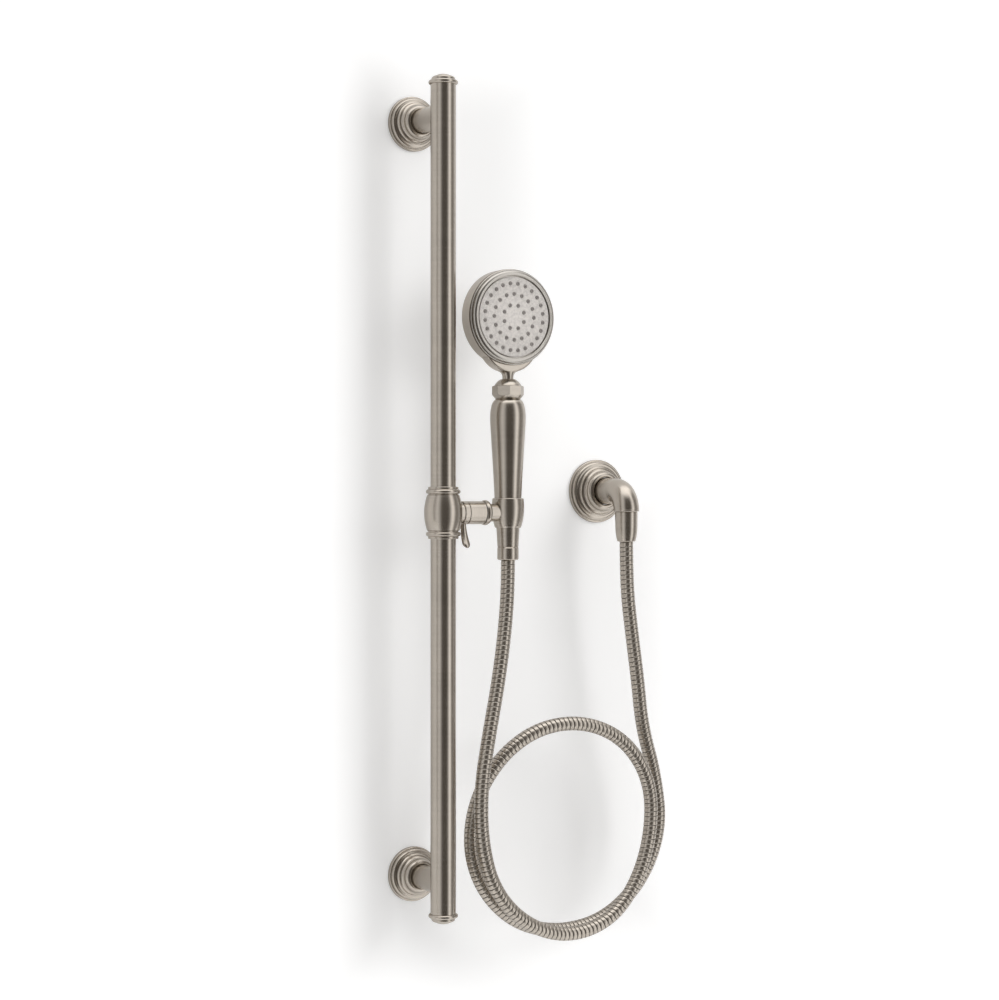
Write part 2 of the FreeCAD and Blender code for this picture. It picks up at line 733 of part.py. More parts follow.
def make_hose_end():
    parts["hose_ferrule"] = hose_ferrule()
    parts["cone_washer"] = ring(STEM_HEAD_R - RUN_GAP, 3.4, 1.9, holder_axis(SEAL_Z))
    parts["cone_nut"] = cone_nut()
    parts["inlet_stem"] = inlet_stem()
    parts["inlet_filter"] = inlet_filter()
    parts["flow_regulator"] = flow_regulator()


# ---------------------------------------------------------------- handle, nut and neck
HANDLE_Z = CONE_TOP_Z + 0.1
SOCKET_Z = HANDLE_TOP_Z + 7.6


def handle_shell():
    """Baluster handle, hollow, threaded for the inlet stem below and the collar nut above."""
    curve = Part.BSplineCurve()
    low_r = HANDLE_BOTTOM_R
    max_r = HANDLE_MAX_R
    span = HANDLE_MAX_Z - HANDLE_Z
    points = [
        (low_r, HANDLE_Z),
        (low_r + 0.20 * (max_r - low_r), HANDLE_Z + 0.225 * span),
        (low_r + 0.60 * (max_r - low_r), HANDLE_Z + 0.58 * span),
        (low_r + 0.91 * (max_r - low_r), HANDLE_Z + 0.84 * span),
        (max_r, HANDLE_MAX_Z),
        (max_r - 1.0, HANDLE_MAX_Z + 0.52 * (HANDLE_TOP_Z - HANDLE_MAX_Z)),
        (max_r - 3.2, HANDLE_MAX_Z + 0.87 * (HANDLE_TOP_Z - HANDLE_MAX_Z)),
        (HANDLE_TOP_R, HANDLE_TOP_Z),
    ]
    curve.interpolate([Vec(r, 0, z) for r, z in points])
    inner = open_edges((HANDLE_TOP_R, HANDLE_TOP_Z), [
        (HANDLE_SPIGOT_R, HANDLE_TOP_Z),
        (HANDLE_SPIGOT_R, SOCKET_Z),
        (TUBE_R + 2.2, SOCKET_Z),
        (TUBE_R + 2.2, HANDLE_TOP_Z - 6),
        (HANDLE_MAX_R - HANDLE_WALL, HANDLE_MAX_Z),
        (THREAD_R + 1.2, HANDLE_Z + 17),
        (THREAD_R, HANDLE_Z + 15),
        (THREAD_R, HANDLE_Z),
        (low_r, HANDLE_Z)])
    face = Part.Face(Part.Wire([curve.toShape()] + inner))
    return place(face.revolve(Vec(0, 0, 0), Vec(0, 0, 1), 360), holder_axis(0), (0, 0, 1))


def water_tube():
    low = THREAD_Z + 7.5
    return ring(TUBE_R - RUN_GAP, TUBE_R - TUBE_WALL, SOCKET_Z - 0.5 - low, holder_axis(low))


def collar_nut():
    """Eight-sided nut with bevelled corners and a domed top."""
    low = HANDLE_TOP_Z + 0.1
    cavity = SOCKET_Z + 4.4
    steps = [
        (HANDLE_TOP_R, low),
        (NUT_R, NUT_BAND_Z0),
        (NUT_R, NUT_BAND_Z1),
        (NUT_FLAT - 1.2, NUT_BAND_Z1 + 0.7),
        ((NUT_FLAT - 3.6, NUT_TOP_Z - 3.0), (NUT_NECK_R + 1.6, NUT_TOP_Z)),
        (NUT_NECK_R, NUT_TOP_Z),
        (NUT_NECK_R, cavity),
        (HANDLE_SPIGOT_R, cavity),
        (HANDLE_SPIGOT_R, low),
    ]
    body = turned((HANDLE_SPIGOT_R, low), steps, holder_axis(0))
    corners = []
    corner_r = NUT_FLAT / math.cos(math.radians(22.5))
    for k in range(9):
        a = math.radians(22.5 + 45 * k)
        corners.append(Vec(HOLDER_X + corner_r * math.cos(a), BAR_Y + corner_r * math.sin(a), low - 1))
    prism = Part.Face(Part.makePolygon(corners)).extrude(Vec(0, 0, NUT_TOP_Z - low + 2))
    return body.common(prism)


def oval(half_x, half_y, z):
    """Oval section of the neck's flare."""
    centre = Vec(HOLDER_X, BAR_Y, z)
    if half_x <= half_y + 1e-6:
        return Part.Wire(Part.Circle(centre, Vec(0, 0, 1), half_x).toShape())
    return Part.Wire(Part.Ellipse(centre, half_x, half_y).toShape())


def head_neck():
    """Seat flange, slim neck and the saddle that carries the drum."""
    bottom = HEAD_Z - HEAD_R
    flare_z = bottom - SADDLE_DROP - 4.2
    seat = SOCKET_Z + 1.0
    top_r = TUBE_R + 3.6
    stem = turned((0, seat), [
        (top_r, seat), (top_r, seat + 3.2), (NECK_STEM_R, seat + 3.2),
        (NECK_STEM_R, flare_z), (0, flare_z)], holder_axis(0))
    flare = Part.makeLoft([
        oval(NECK_STEM_R, NECK_STEM_R, flare_z),
        oval(NECK_STEM_R + 0.5, NECK_STEM_R + 0.2, flare_z + 2.0),
        oval(NECK_STEM_R + 2.0, NECK_STEM_R + 0.6, flare_z + 3.8),
        oval(NECK_STEM_R + 5.0, SADDLE_W / 2 - 0.4, flare_z + 5.6),
        oval(NECK_STEM_R + 7.0, SADDLE_W / 2 - 0.2, flare_z + 8.0)], True)
    drum = rod(HEAD_R + RUN_GAP, 60, (HOLDER_X, BAR_Y + 30, HEAD_Z), (0, -1, 0))
    nipple = rod(NECK_STEM_R - 0.6 - RUN_GAP, 3 + DRUM_WALL - SEAT_GAP, holder_axis(bottom - 3))
    body = stem.fuse(flare).fuse(saddle_band()).cut(drum).fuse(nipple)
    return body.cut(rod(3.6, 60, holder_axis(seat - 1)))


def saddle_band():
    """Crescent under the drum: a rounded disc whose curve is tighter than the drum's."""
    soft = 2.2
    inset = soft * (1 - math.sqrt(0.5))
    disc = turned((0, 0), [
        (SADDLE_R - soft, 0),
        ((SADDLE_R - inset, inset), (SADDLE_R, soft)),
        (SADDLE_R, SADDLE_W - soft),
        ((SADDLE_R - inset, SADDLE_W - inset), (SADDLE_R - soft, SADDLE_W)),
        (0, SADDLE_W)],
        (HOLDER_X, BAR_Y + SADDLE_W / 2, HEAD_Z - HEAD_R - SADDLE_DROP + SADDLE_R), (0, -1, 0))
    return disc.common(block((HOLDER_X - SADDLE_HALF, HOLDER_X + SADDLE_HALF),
                             (BAR_Y - SADDLE_W, BAR_Y + SADDLE_W),
                             (HEAD_Z - 2 * HEAD_R, HEAD_Z - HEAD_R / 2)))


def make_handle():
    parts["handle_shell"] = handle_shell()
    parts["water_tube"] = water_tube()
    parts["collar_nut"] = collar_nut()
    parts["neck_seal"] = ring(TUBE_R + 3.2, TUBE_R - 1.0, 0.9, holder_axis(SOCKET_Z + 0.05))
    parts["head_neck"] = head_neck()


# ---------------------------------------------------------------- head
FACE_AXIS = (0, -1, 0)
BEZEL_FIT_R = HEAD_R - DRUM_WALL
SPIGOT_START = DRUM_FRONT - 5.0
LEDGE_IN_R = SPRAY_R - 2.4
LEDGE_FACE = PLATE_FACE - SPRAY_T
DISC_R = LEDGE_IN_R - 0.2
SCREW_PITCH_R = 28.4


def head_centre():
    return (HOLDER_X, BAR_Y, HEAD_Z)


def ring_spots(count, radius, start_deg):
    """Points of one nozzle ring in the plane of the spray plate, from straight up."""
    spots = []
    for k in range(count):
        a = math.radians(start_deg + 360.0 * k / count)
        spots.append((HOLDER_X + radius * math.sin(a), HEAD_Z + radius * math.cos(a)))
    return spots


def nozzle_spots():
    spots = []
    for count, share, start in NOZZLE_RINGS:
        spots += ring_spots(count, share * SPRAY_R, start)
    return spots


def screw_spots():
    return ring_spots(3, SCREW_PITCH_R, 0.0)


def pegs(spots, radius, low, high):
    """Rods along the face axis at a list of spots, between two distances from the handle axis."""
    return group([rod(radius, high - low, (x, BAR_Y - low, z), FACE_AXIS) for x, z in spots])


def cap_arc(edge_r, edge_z, pole_z):
    """Arc step of a shallow ball cap, from its edge to its pole on the axis."""
    rise = edge_z - pole_z
    ball_r = (rise ** 2 + edge_r ** 2) / (2 * rise)
    half = math.asin(edge_r / ball_r) / 2
    return (ball_r * math.sin(half), pole_z + ball_r * (1 - math.cos(half))), (0, pole_z)


def head_body():
    """Drum with a domed back, open to the front."""
    steps = [
        ((0.55 * HEAD_R, -DRUM_BACK - 0.74 * DOME), (0.93 * HEAD_R, -DRUM_BACK - 0.16 * DOME)),
        ((0.985 * HEAD_R, -DRUM_BACK + 0.4), (HEAD_R, -DRUM_BACK + 2.6)),
        (HEAD_R, DRUM_FRONT),
        (BEZEL_FIT_R, DRUM_FRONT),
        (BEZEL_FIT_R, -DRUM_BACK + 3.0),
        cap_arc(BEZEL_FIT_R, -DRUM_BACK + 3.0, -DRUM_BACK - DOME + 2.6),
    ]
    body = turned((0, -DRUM_BACK - DOME), steps, head_centre(), FACE_AXIS)
    return body.cut(rod(NECK_STEM_R - 0.6, 2 * DRUM_WALL + 6, holder_axis(HEAD_Z - HEAD_R - 3)))


def bezel_ring():
    """Front ring with two fine grooves and a rounded face round the spray plate."""
    spigot = BEZEL_FIT_R - RUN_GAP
    steps = [
        (spigot, SPIGOT_START),
        (spigot, DRUM_FRONT - 4.4),
        (spigot - 1.9, DRUM_FRONT - 4.4),
        (spigot - 1.9, DRUM_FRONT - 2.4),
        (spigot, DRUM_FRONT - 2.4),
        (spigot, DRUM_FRONT + RUN_GAP),
        (HEAD_R - 1.3, DRUM_FRONT + RUN_GAP),
        (HEAD_R - 1.3, DRUM_FRONT + 0.8),
        ((HEAD_R - 0.2, DRUM_FRONT + 2.2), (HEAD_R - 1.2, DRUM_FRONT + 3.5)),
        (HEAD_R - 1.9, DRUM_FRONT + 3.5),
        (HEAD_R - 1.9, DRUM_FRONT + 4.2),
        (HEAD_R - 1.4, DRUM_FRONT + 4.4),
        ((HEAD_R - 3.0, BEZEL_FRONT - 0.5), (HEAD_R - 6.0, BEZEL_FRONT)),
        (SPRAY_R + 1.5, BEZEL_FRONT),
        (SPRAY_R + PLATE_GROOVE, BEZEL_FRONT - 0.7),
        (SPRAY_R + PLATE_GROOVE, LEDGE_FACE),
        (LEDGE_IN_R, LEDGE_FACE),
        (LEDGE_IN_R, LEDGE_FACE - 2.4),
        (spigot - 3.8, LEDGE_FACE - 4.4),
    ]
    return turned((spigot - 3.8, SPIGOT_START), steps, head_centre(), FACE_AXIS)


def spray_plate():
    """Round plate with a hole for each nozzle and three blind screw holes behind."""
    steps = [
        (SPRAY_R, LEDGE_FACE),
        (SPRAY_R, PLATE_FACE - 0.5),
        (SPRAY_R - 0.5, PLATE_FACE),
        (0, PLATE_FACE),
    ]
    plate = turned((0, LEDGE_FACE), steps, head_centre(), FACE_AXIS)
    plate = plate.cut(pegs(nozzle_spots(), NOZZLE_R + SEAT_GAP, LEDGE_FACE - 1, PLATE_FACE + 1))
    return plate.cut(pegs(screw_spots(), 1.2, LEDGE_FACE - 1, LEDGE_FACE + 1.4))


def nozzle_mat():
    """Soft mat behind the plate with one tapered nozzle for each hole."""
    low = LEDGE_FACE - 2.0
    mat = rod(DISC_R, 1.9, (HOLDER_X, BAR_Y - low, HEAD_Z), FACE_AXIS)
    tips = []
    for x, z in nozzle_spots():
        tip = turned((0, low), [
            (NOZZLE_R, low), (NOZZLE_R, PLATE_FACE - 0.2), (NOZZLE_R - 0.3, NOZZLE_TIP - 0.1),
            (NOZZLE_R - 0.5, NOZZLE_TIP), (0, NOZZLE_TIP)], (x, BAR_Y, z), FACE_AXIS)
        tips.append(tip)
    mat = mat.fuse(tips)
    mat = mat.cut(pegs(nozzle_spots(), 0.6, low - 1, NOZZLE_TIP + 1))
    return mat.cut(pegs(screw_spots(), 1.4, low - 1, NOZZLE_TIP + 1))


def distributor_disc():
    """Stiff disc behind the mat that spreads the water to the three rings."""
    low = LEDGE_FACE - 4.6
    disc = rod(DISC_R, 2.5, (HOLDER_X, BAR_Y - low, HEAD_Z), FACE_AXIS)
    holes = []
    for count, share, start in NOZZLE_RINGS:
        holes += ring_spots(count // 2, share * SPRAY_R, start + 180.0 / count)
    disc = disc.cut(pegs(holes, 1.6, low - 1, LEDGE_FACE))
    return disc.cut(pegs(screw_spots(), 1.4, low - 1, LEDGE_FACE))


def plate_screws():
    """Three screws from behind the distributor into the spray plate."""
    low = LEDGE_FACE - 4.6
    screws = []
    for x, z in screw_spots():
        head = rod(2.3, 1.4, (x, BAR_Y - low + 1.4, z), FACE_AXIS)
        shank = rod(1.2, 4.6 + 1.3, (x, BAR_Y - low, z), FACE_AXIS)
        screws.append(head.fuse(shank).removeSplitter())
    return group(screws)


def make_head():
    seal_y = BAR_Y - DRUM_FRONT + 3.4
    parts["head_body"] = head_body()
    parts["bezel_ring"] = bezel_ring()
    parts["head_seal"] = oring(BEZEL_FIT_R - 0.95, 0.9, (HOLDER_X, seal_y, HEAD_Z), (0, 1, 0))
    parts["spray_plate"] = spray_plate()
    parts["nozzle_mat"] = nozzle_mat()
    parts["distributor_disc"] = distributor_disc()
    parts["plate_screws"] = plate_screws()


# ---------------------------------------------------------------- supply elbow
SPIGOT_TOP_Z = LEG_BOTTOM_Z + OUTLET_SPIGOT_L
MALE_BOTTOM_Z = HOSE_NUT_BOTTOM_Z + 6.5


def elbow_axis(z):
    return (ELBOW_X, ELBOW_Y, z)


def elbow_form(radius, root_r, leg_r, low_z, back_y):
    """Bent pipe: straight root from the wall, quarter bend, straight leg down."""
    bend_y = ELBOW_Y + ELBOW_BEND_R
    bend_z = ELBOW_Z - ELBOW_BEND_R
    root = taper(root_r, radius, back_y - bend_y, (ELBOW_X, back_y, ELBOW_Z), WALL_AXIS)
    ball = Part.Face(Part.Wire(Part.Circle(
        Vec(ELBOW_X, bend_y, ELBOW_Z), Vec(0, -1, 0), radius).toShape()))
    bend = ball.revolve(Vec(ELBOW_X, bend_y, bend_z), Vec(1, 0, 0), 90)
    form = root.fuse(bend)
    if bend_z > low_z:
        leg = taper(radius, leg_r, bend_z - low_z, (ELBOW_X, ELBOW_Y, bend_z), (0, 0, -1))
        form = form.fuse(leg)
    return form.removeSplitter()


def elbow_body():
    """Cast elbow: female thread towards the wall and a female thread down."""
    outer = elbow_form(ELBOW_R, ELBOW_ROOT_R, LEG_R, LEG_BOTTOM_Z, INLET_Y)
    bead = turned((LEG_R - 2, LEG_BOTTOM_Z), [
        (LEG_R + 0.3, LEG_BOTTOM_Z),
        ((LEG_R + 0.9, LEG_BOTTOM_Z + 1.2), (LEG_R + 0.3, LEG_BOTTOM_Z + 2.4)),
        (LEG_R - 2, LEG_BOTTOM_Z + 2.4)], elbow_axis(0))
    water = elbow_form(WATER_R, WATER_R, WATER_R, LEG_BOTTOM_Z, INLET_Y)
    body = outer.fuse(bead).cut(water)
    body = body.cut(rod(INLET_R, INLET_L, (ELBOW_X, INLET_Y, ELBOW_Z), (0, -1, 0)))
    return body.cut(rod(LEG_THREAD_R, SPIGOT_TOP_Z - LEG_BOTTOM_Z, elbow_axis(LEG_BOTTOM_Z)))


def elbow_outlet():
    """Turned outlet with a spigot up, a thread down and a stepped bore for the check valve."""
    body = turned((WATER_R - 1.5, MALE_BOTTOM_Z), [
        (THREAD_R, MALE_BOTTOM_Z),
        (THREAD_R, OUTLET_BOTTOM_Z),
        (OUTLET_END_R, OUTLET_BOTTOM_Z),
        (OUTLET_R, LEG_BOTTOM_Z - 0.6),
        (OUTLET_R - 0.6, LEG_BOTTOM_Z),
        (LEG_THREAD_R - RUN_GAP, LEG_BOTTOM_Z),
        (LEG_THREAD_R - RUN_GAP, SPIGOT_TOP_Z - SEAT_GAP),
        (WATER_R, SPIGOT_TOP_Z - SEAT_GAP),
        (WATER_R, VALVE_GUIDE_Z),
        (WATER_R - 1.5, VALVE_GUIDE_Z)], elbow_axis(0))
    return body


def check_valve():
    """Seat ring at the top, a poppet below it and a spring that lifts the poppet."""
    seat_z = SPIGOT_TOP_Z - SEAT_GAP - VALVE_SEAT_T
    seat = ring(WATER_R - RUN_GAP, 4.4, VALVE_SEAT_T, elbow_axis(seat_z))
    guide_r = 5.6
    stem_z = VALVE_GUIDE_Z + 0.3
    poppet = turned((0, stem_z), [
        (1.4, stem_z),
        (1.4, seat_z - 3.0),
        (guide_r, seat_z - 3.0),
        (guide_r, seat_z - 1.2),
        (4.2, seat_z - RUN_GAP),
        (0, seat_z - RUN_GAP)], elbow_axis(0))
    base = ring(WATER_R - RUN_GAP, 1.4 + SEAT_GAP, 1.6, elbow_axis(VALVE_GUIDE_Z + 0.05))
    for k in range(6):
        a = math.radians(60 * k)
        spot = (ELBOW_X + 4.4 * math.cos(a), ELBOW_Y + 4.4 * math.sin(a), VALVE_GUIDE_Z)
        base = base.cut(rod(1.2, 3, spot))
    return seat, poppet, base, seat_z


def valve_spring(top_z):
    """Coil spring between the guide plate and the poppet."""
    wire_r = 0.35
    low = VALVE_GUIDE_Z + 1.65 + wire_r + 0.05
    height = top_z - 3.0 - wire_r - 0.05 - low
    helix = Part.makeHelix(height / 5, height, 3.0)
    path = Part.Wire(helix.Edges)
    profile = Part.Wire(Part.Circle(Vec(3.0, 0, 0), Vec(0, 1, 0), wire_r).toShape())
    spring = path.makePipeShell([profile], True, True)
    spring.translate(Vec(ELBOW_X, ELBOW_Y, low))
    return spring


def elbow_hose_nut():
    """Tapered nut under the outlet."""
    web = HOSE_NUT_BOTTOM_Z + 2.2
    steps = [
        (HOSE_NUT_R - 0.6, HOSE_NUT_BOTTOM_Z),
        (HOSE_NUT_R, HOSE_NUT_BOTTOM_Z + 0.6),
        ((HOSE_NUT_TOP_R - 0.6, MALE_BOTTOM_Z), (HOSE_NUT_TOP_R, OUTLET_BOTTOM_Z - 0.1)),
        (THREAD_R, OUTLET_BOTTOM_Z - 0.1),
        (THREAD_R, MALE_BOTTOM_Z),
        (STEM_HEAD_R + SEAT_GAP, MALE_BOTTOM_Z),
        (STEM_HEAD_R + SEAT_GAP, web),
        (HOSE_BORE_R, web),
        (HOSE_BORE_R, HOSE_NUT_BOTTOM_Z),
    ]
    return turned((HOSE_BORE_R, HOSE_NUT_BOTTOM_Z), steps, elbow_axis(0))


def hose_inserts():
    """Barbed inserts inside the two hose ends."""
    web = HOSE_NUT_BOTTOM_Z + 2.2
    upper = turned((3.2, web - INSERT_L), [
        (HOSE_BORE_R - 0.1, web - INSERT_L),
        (HOSE_BORE_R - 0.1, web),
        (STEM_HEAD_R, web),
        (STEM_HEAD_R, web + 1.9),
        (3.2, web + 1.9)], elbow_axis(0))
    low = FERRULE_BOTTOM_Z + 3.0 - INSERT_L
    lower = ring(HOSE_BORE_R - 0.1, 3.2, INSERT_L, holder_axis(low))
    return upper, lower


def make_elbow():
    seat, poppet, base, seat_z = check_valve()
    upper, lower = hose_inserts()
    top = HOSE_NUT_BOTTOM_Z + 2.2 + 1.9
    parts["elbow_body"] = elbow_body()
    parts["elbow_flange"] = stepped_flange(
        ELBOW_FLANGE_R, FLANGE_H, ELBOW_ROOT_R + SEAT_GAP, (ELBOW_X, 0, ELBOW_Z))
    parts["elbow_outlet"] = elbow_outlet()
    parts["check_valve_seat"] = seat
    parts["check_valve_guide"] = base
    parts["check_valve_poppet"] = poppet
    parts["check_valve_spring"] = valve_spring(seat_z)
    parts["elbow_hose_nut"] = elbow_hose_nut()
    parts["elbow_hose_washer"] = ring(STEM_HEAD_R, 3.4, MALE_BOTTOM_Z - top - 0.05, elbow_axis(top))
    parts["elbow_hose_insert"] = upper
    parts["ferrule_insert"] = lower


# ---------------------------------------------------------------- hose
def hose_path(points):
    """Straight runs joined by tangent arcs, each as large as its two runs allow."""
    pts = [Vec(*p) for p in points]
    edges = []
    radii = []
    length = 0.0
    here = pts[0]
    for k in range(1, len(pts) - 1):
        before = pts[k] - pts[k - 1]
        after = pts[k + 1] - pts[k]
        half = before.getAngle(after) / 2
        trim = 0.45 * min(before.Length, after.Length)
        radius = trim / math.tan(half)
        into = Vec(before).normalize()
        out = Vec(after).normalize()
        start = pts[k] - into * trim
        end = pts[k] + out * trim
        mid_dir = (out - into).normalize()
        mid = pts[k] + mid_dir * (radius / math.cos(half) - radius)
        edges.append(Part.LineSegment(here, start).toShape())
        edges.append(Part.Arc(start, mid, end).toShape())
        radii.append(radius)
        length += (start - here).Length + 2 * half * radius
        here = end
    edges.append(Part.LineSegment(here, pts[-1]).toShape())
    length += (pts[-1] - here).Length
    return Part.Wire(edges), radii, length


def hose():
    """Plain hose tube along its route."""
    path, radii, length = hose_path(HOSE_ROUTE)
    start = Vec(*HOSE_ROUTE[0])
    along = Vec(*HOSE_ROUTE[1]) - start
    solids = []
    for radius in (HOSE_R, HOSE_BORE_R):
        section = Part.Wire(Part.Circle(start, along, radius).toShape())
        solids.append(path.makePipeShell([section], True, False))
    tube = solids[0].cut(solids[1])
    section_area = math.pi * (HOSE_R ** 2 - HOSE_BORE_R ** 2)
    print("hose arc radii mm:", [round(r, 1) for r in radii])
    print("hose smallest radius mm:", round(min(radii), 1))
    print("hose length mm:", round(length, 1))
    print("hose volume over section times length:", round(tube.Volume / (section_area * length), 5))
    return tube


def main():
    make_bar_set()
    make_slider()
    make_holder()
    make_hose_end()
    make_handle()
    make_head()
    make_elbow()
    parts["hose"] = hose()
    os.makedirs("parts", exist_ok=True)
    for node, shape in parts.items():
        shape.exportStep("parts/" + node + ".step")
        print(node, len(shape.Solids), "solids", round(shape.Volume, 1), "mm3", shape.isValid())


main()
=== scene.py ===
import math

import bmesh
import bpy
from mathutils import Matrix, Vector


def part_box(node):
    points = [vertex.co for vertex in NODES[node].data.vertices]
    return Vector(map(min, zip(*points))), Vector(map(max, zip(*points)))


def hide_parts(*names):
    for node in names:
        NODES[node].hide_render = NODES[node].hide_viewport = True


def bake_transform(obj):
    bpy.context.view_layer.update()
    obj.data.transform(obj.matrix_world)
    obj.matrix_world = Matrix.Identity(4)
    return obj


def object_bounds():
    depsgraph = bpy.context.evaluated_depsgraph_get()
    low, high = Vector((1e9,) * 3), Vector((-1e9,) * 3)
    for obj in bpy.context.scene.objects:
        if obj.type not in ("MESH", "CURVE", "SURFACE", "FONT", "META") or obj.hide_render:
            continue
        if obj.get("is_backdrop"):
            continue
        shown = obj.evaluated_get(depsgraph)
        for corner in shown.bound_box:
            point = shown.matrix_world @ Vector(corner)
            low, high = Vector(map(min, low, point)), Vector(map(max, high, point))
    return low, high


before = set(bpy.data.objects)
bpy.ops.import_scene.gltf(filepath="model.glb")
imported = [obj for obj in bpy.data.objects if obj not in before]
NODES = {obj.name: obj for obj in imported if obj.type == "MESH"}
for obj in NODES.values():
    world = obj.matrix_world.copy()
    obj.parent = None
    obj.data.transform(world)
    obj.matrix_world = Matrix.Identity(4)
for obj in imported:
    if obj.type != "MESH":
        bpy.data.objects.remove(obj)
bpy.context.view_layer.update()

bl_info = {
    "name": "Slide Bar Hand Shower",
    "version": (1, 0, 0),
    "blender": (4, 5, 0),
    "location": "View3D > Sidebar > Hand Shower",
    "description": "Finishes a slide bar with a hand shower, and winds and hangs its hose",
    "category": "Object",
}

MM = 0.001

# The hose's route from the hand shower down, round twice, and up to the supply elbow.
HOSE_ROUTE = (
    (0.0742, -0.066, 0.3195),
    (0.0742, -0.066, 0.290),
    (0.0686, -0.0685, 0.243),
    (0.0586, -0.0725, 0.193),
    (0.046, -0.0765, 0.144),
    (0.0355, -0.079, 0.093),
    (0.0365, -0.079, 0.038),
    (0.051, -0.079, -0.011),
    (0.088, -0.078, -0.048),
    (0.137, -0.078, -0.065),
    (0.188, -0.078, -0.054),
    (0.222, -0.077, -0.019),
    (0.241, -0.076, 0.031),
    (0.2415, -0.075, 0.086),
    (0.213, -0.073, 0.130),
    (0.167, -0.070, 0.152),
    (0.116, -0.065, 0.150),
    (0.073, -0.060, 0.125),
    (0.043, -0.057, 0.083),
    (0.034, -0.056, 0.033),
    (0.050, -0.056, -0.014),
    (0.088, -0.057, -0.050),
    (0.140, -0.058, -0.064),
    (0.197, -0.058, -0.055),
    (0.243, -0.057, -0.019),
    (0.266, -0.057, 0.034),
    (0.258, -0.058, 0.091),
    (0.241, -0.059, 0.142),
    (0.235, -0.060, 0.191),
    (0.2275, -0.060, 0.241),
    (0.2208, -0.060, 0.292),
    (0.2208, -0.060, 0.3367),
)
# The hose's parts from the hand shower on, each with the two bodies it is drawn between.
HOSE_PARTS = (
    ("hose_lift_stretch", "hose_end", "holder"),
    ("hose_tilt_stretch", "holder", "slider"),
    ("hose_turn_stretch", "slider", "liner"),
    ("hose_main", "liner", "wall_set"),
)
# Where each part starts along the hose.
HOSE_CUTS = (0.0, 0.055, 0.090, 0.146)
# The two places between which the longest part passes from the liner to the wall set.
MAIN_BLEND = (Vector((0.060, -0.06, 0.0)), Vector((0.205, -0.06, 0.0)))
# Turns of strip wound beyond the hose's length, and how many of them lie below its start.
SPARE_TURNS = 3
TURNS_BELOW = 2
# Points of the strip this close together are one point, and the same for a cut's points.
MERGE = 0.02 * MM
CUT_MERGE = 1e-7

# Plated pieces by the direction of the axis their lathe lines run round.
TURNED = {
    "Z": ("slide_bar", "lower_end_cap", "upper_end_cap", "slider_barrel", "upper_collar",
          "lower_collar", "holder_cup", "hose_ferrule", "cone_nut", "handle_shell", "collar_nut",
          "head_neck", "elbow_body", "elbow_outlet", "elbow_hose_nut"),
    "Y": ("lower_post", "upper_post", "lower_flange", "upper_flange", "elbow_flange",
          "head_body", "bezel_ring"),
    "X": ("arm_sleeve", "tilt_ring", "lock_lever"),
}
STEEL = ("lower_wall_plate", "upper_wall_plate", "bar_screws", "post_grub_screws", "lever_pin",
         "tilt_grub_screw", "tilt_spindle", "plate_screws", "check_valve_spring",
         "brake_plunger")
BRASS = ("bar_plugs", "inlet_stem", "elbow_hose_insert", "ferrule_insert")
PLASTIC = ("slider_liner", "cup_liner", "friction_washer", "flow_regulator", "inlet_filter",
           "water_tube", "distributor_disc", "check_valve_seat", "check_valve_guide",
           "check_valve_poppet")
RUBBER = ("lower_cap_seal", "upper_cap_seal", "cone_washer", "neck_seal", "head_seal",
          "elbow_hose_washer")

# The inner finishes: nodes, name, colour, roughness, grain to the metre, its depth, and metal.
INNER_FINISHES = (
    (STEEL, "plain_steel", (0.55, 0.55, 0.56), 0.34, 900.0, 0.01 * MM, 1.0),
    (BRASS, "turned_brass", (0.72, 0.55, 0.27), 0.32, 900.0, 0.01 * MM, 1.0),
    (PLASTIC, "white_plastic", (0.74, 0.74, 0.72), 0.45, 700.0, 0.01 * MM, 0.0),
    (RUBBER, "black_rubber", (0.035, 0.035, 0.036), 0.62, 800.0, 0.02 * MM, 0.0),
)


# ---------------------------------------------------------------- shader maths
class Flow:
    """One output of a shader tree. Python's operators on it add the tree's Math nodes."""

    def __init__(self, tree, output):
        self.tree = tree
        self.output = output

    def maths(self, operation, first, second=None):
        values = {0: first} if second is None else {0: first, 1: second}
        return self.node("ShaderNodeMath", {"operation": operation}, values)

    def node(self, kind, settings=None, inputs=None, output=0):
        """A node of a kind, its settings made first, then the values or links of its sockets."""
        made = self.tree.nodes.new(kind)
        for name, value in (settings or {}).items():
            if name == "stops":
                fill_ramp(made.color_ramp, value)
            else:
                setattr(made, name, value)
        for name, value in (inputs or {}).items():
            if isinstance(value, Flow):
                self.tree.links.new(value.output, made.inputs[name])
            else:
                made.inputs[name].default_value = value
        return Flow(self.tree, made.outputs[output] if made.outputs else None)

    def __add__(self, other):
        return self.maths("ADD", self, other)

    def __radd__(self, other):
        return self.maths("ADD", other, self)

    def __sub__(self, other):
        return self.maths("SUBTRACT", self, other)

    def __rsub__(self, other):
        return self.maths("SUBTRACT", other, self)

    def __mul__(self, other):
        return self.maths("MULTIPLY", self, other)

    def __rmul__(self, other):
        return self.maths("MULTIPLY", other, self)

    def __truediv__(self, other):
        return self.maths("DIVIDE", self, other)

    def __rtruediv__(self, other):
        return self.maths("DIVIDE", other, self)

    def root(self):
        return self.maths("SQRT", self)

    def between(self, low, high):
        """0 below low, 1 above high, and a smooth climb between them."""
        settings = {"interpolation_type": "SMOOTHSTEP"}
        inputs = {"Value": self, "From Min": low, "From Max": high}
        return self.node("ShaderNodeMapRange", settings, inputs)


def fill_ramp(ramp, stops):
    """Gives a colour ramp its stops, as pairs of a place and a colour."""
    while len(ramp.elements) < len(stops):
        ramp.elements.new(1.0)
    for element, (place, colour) in zip(ramp.elements, stops):
        element.position = place
        element.color = colour


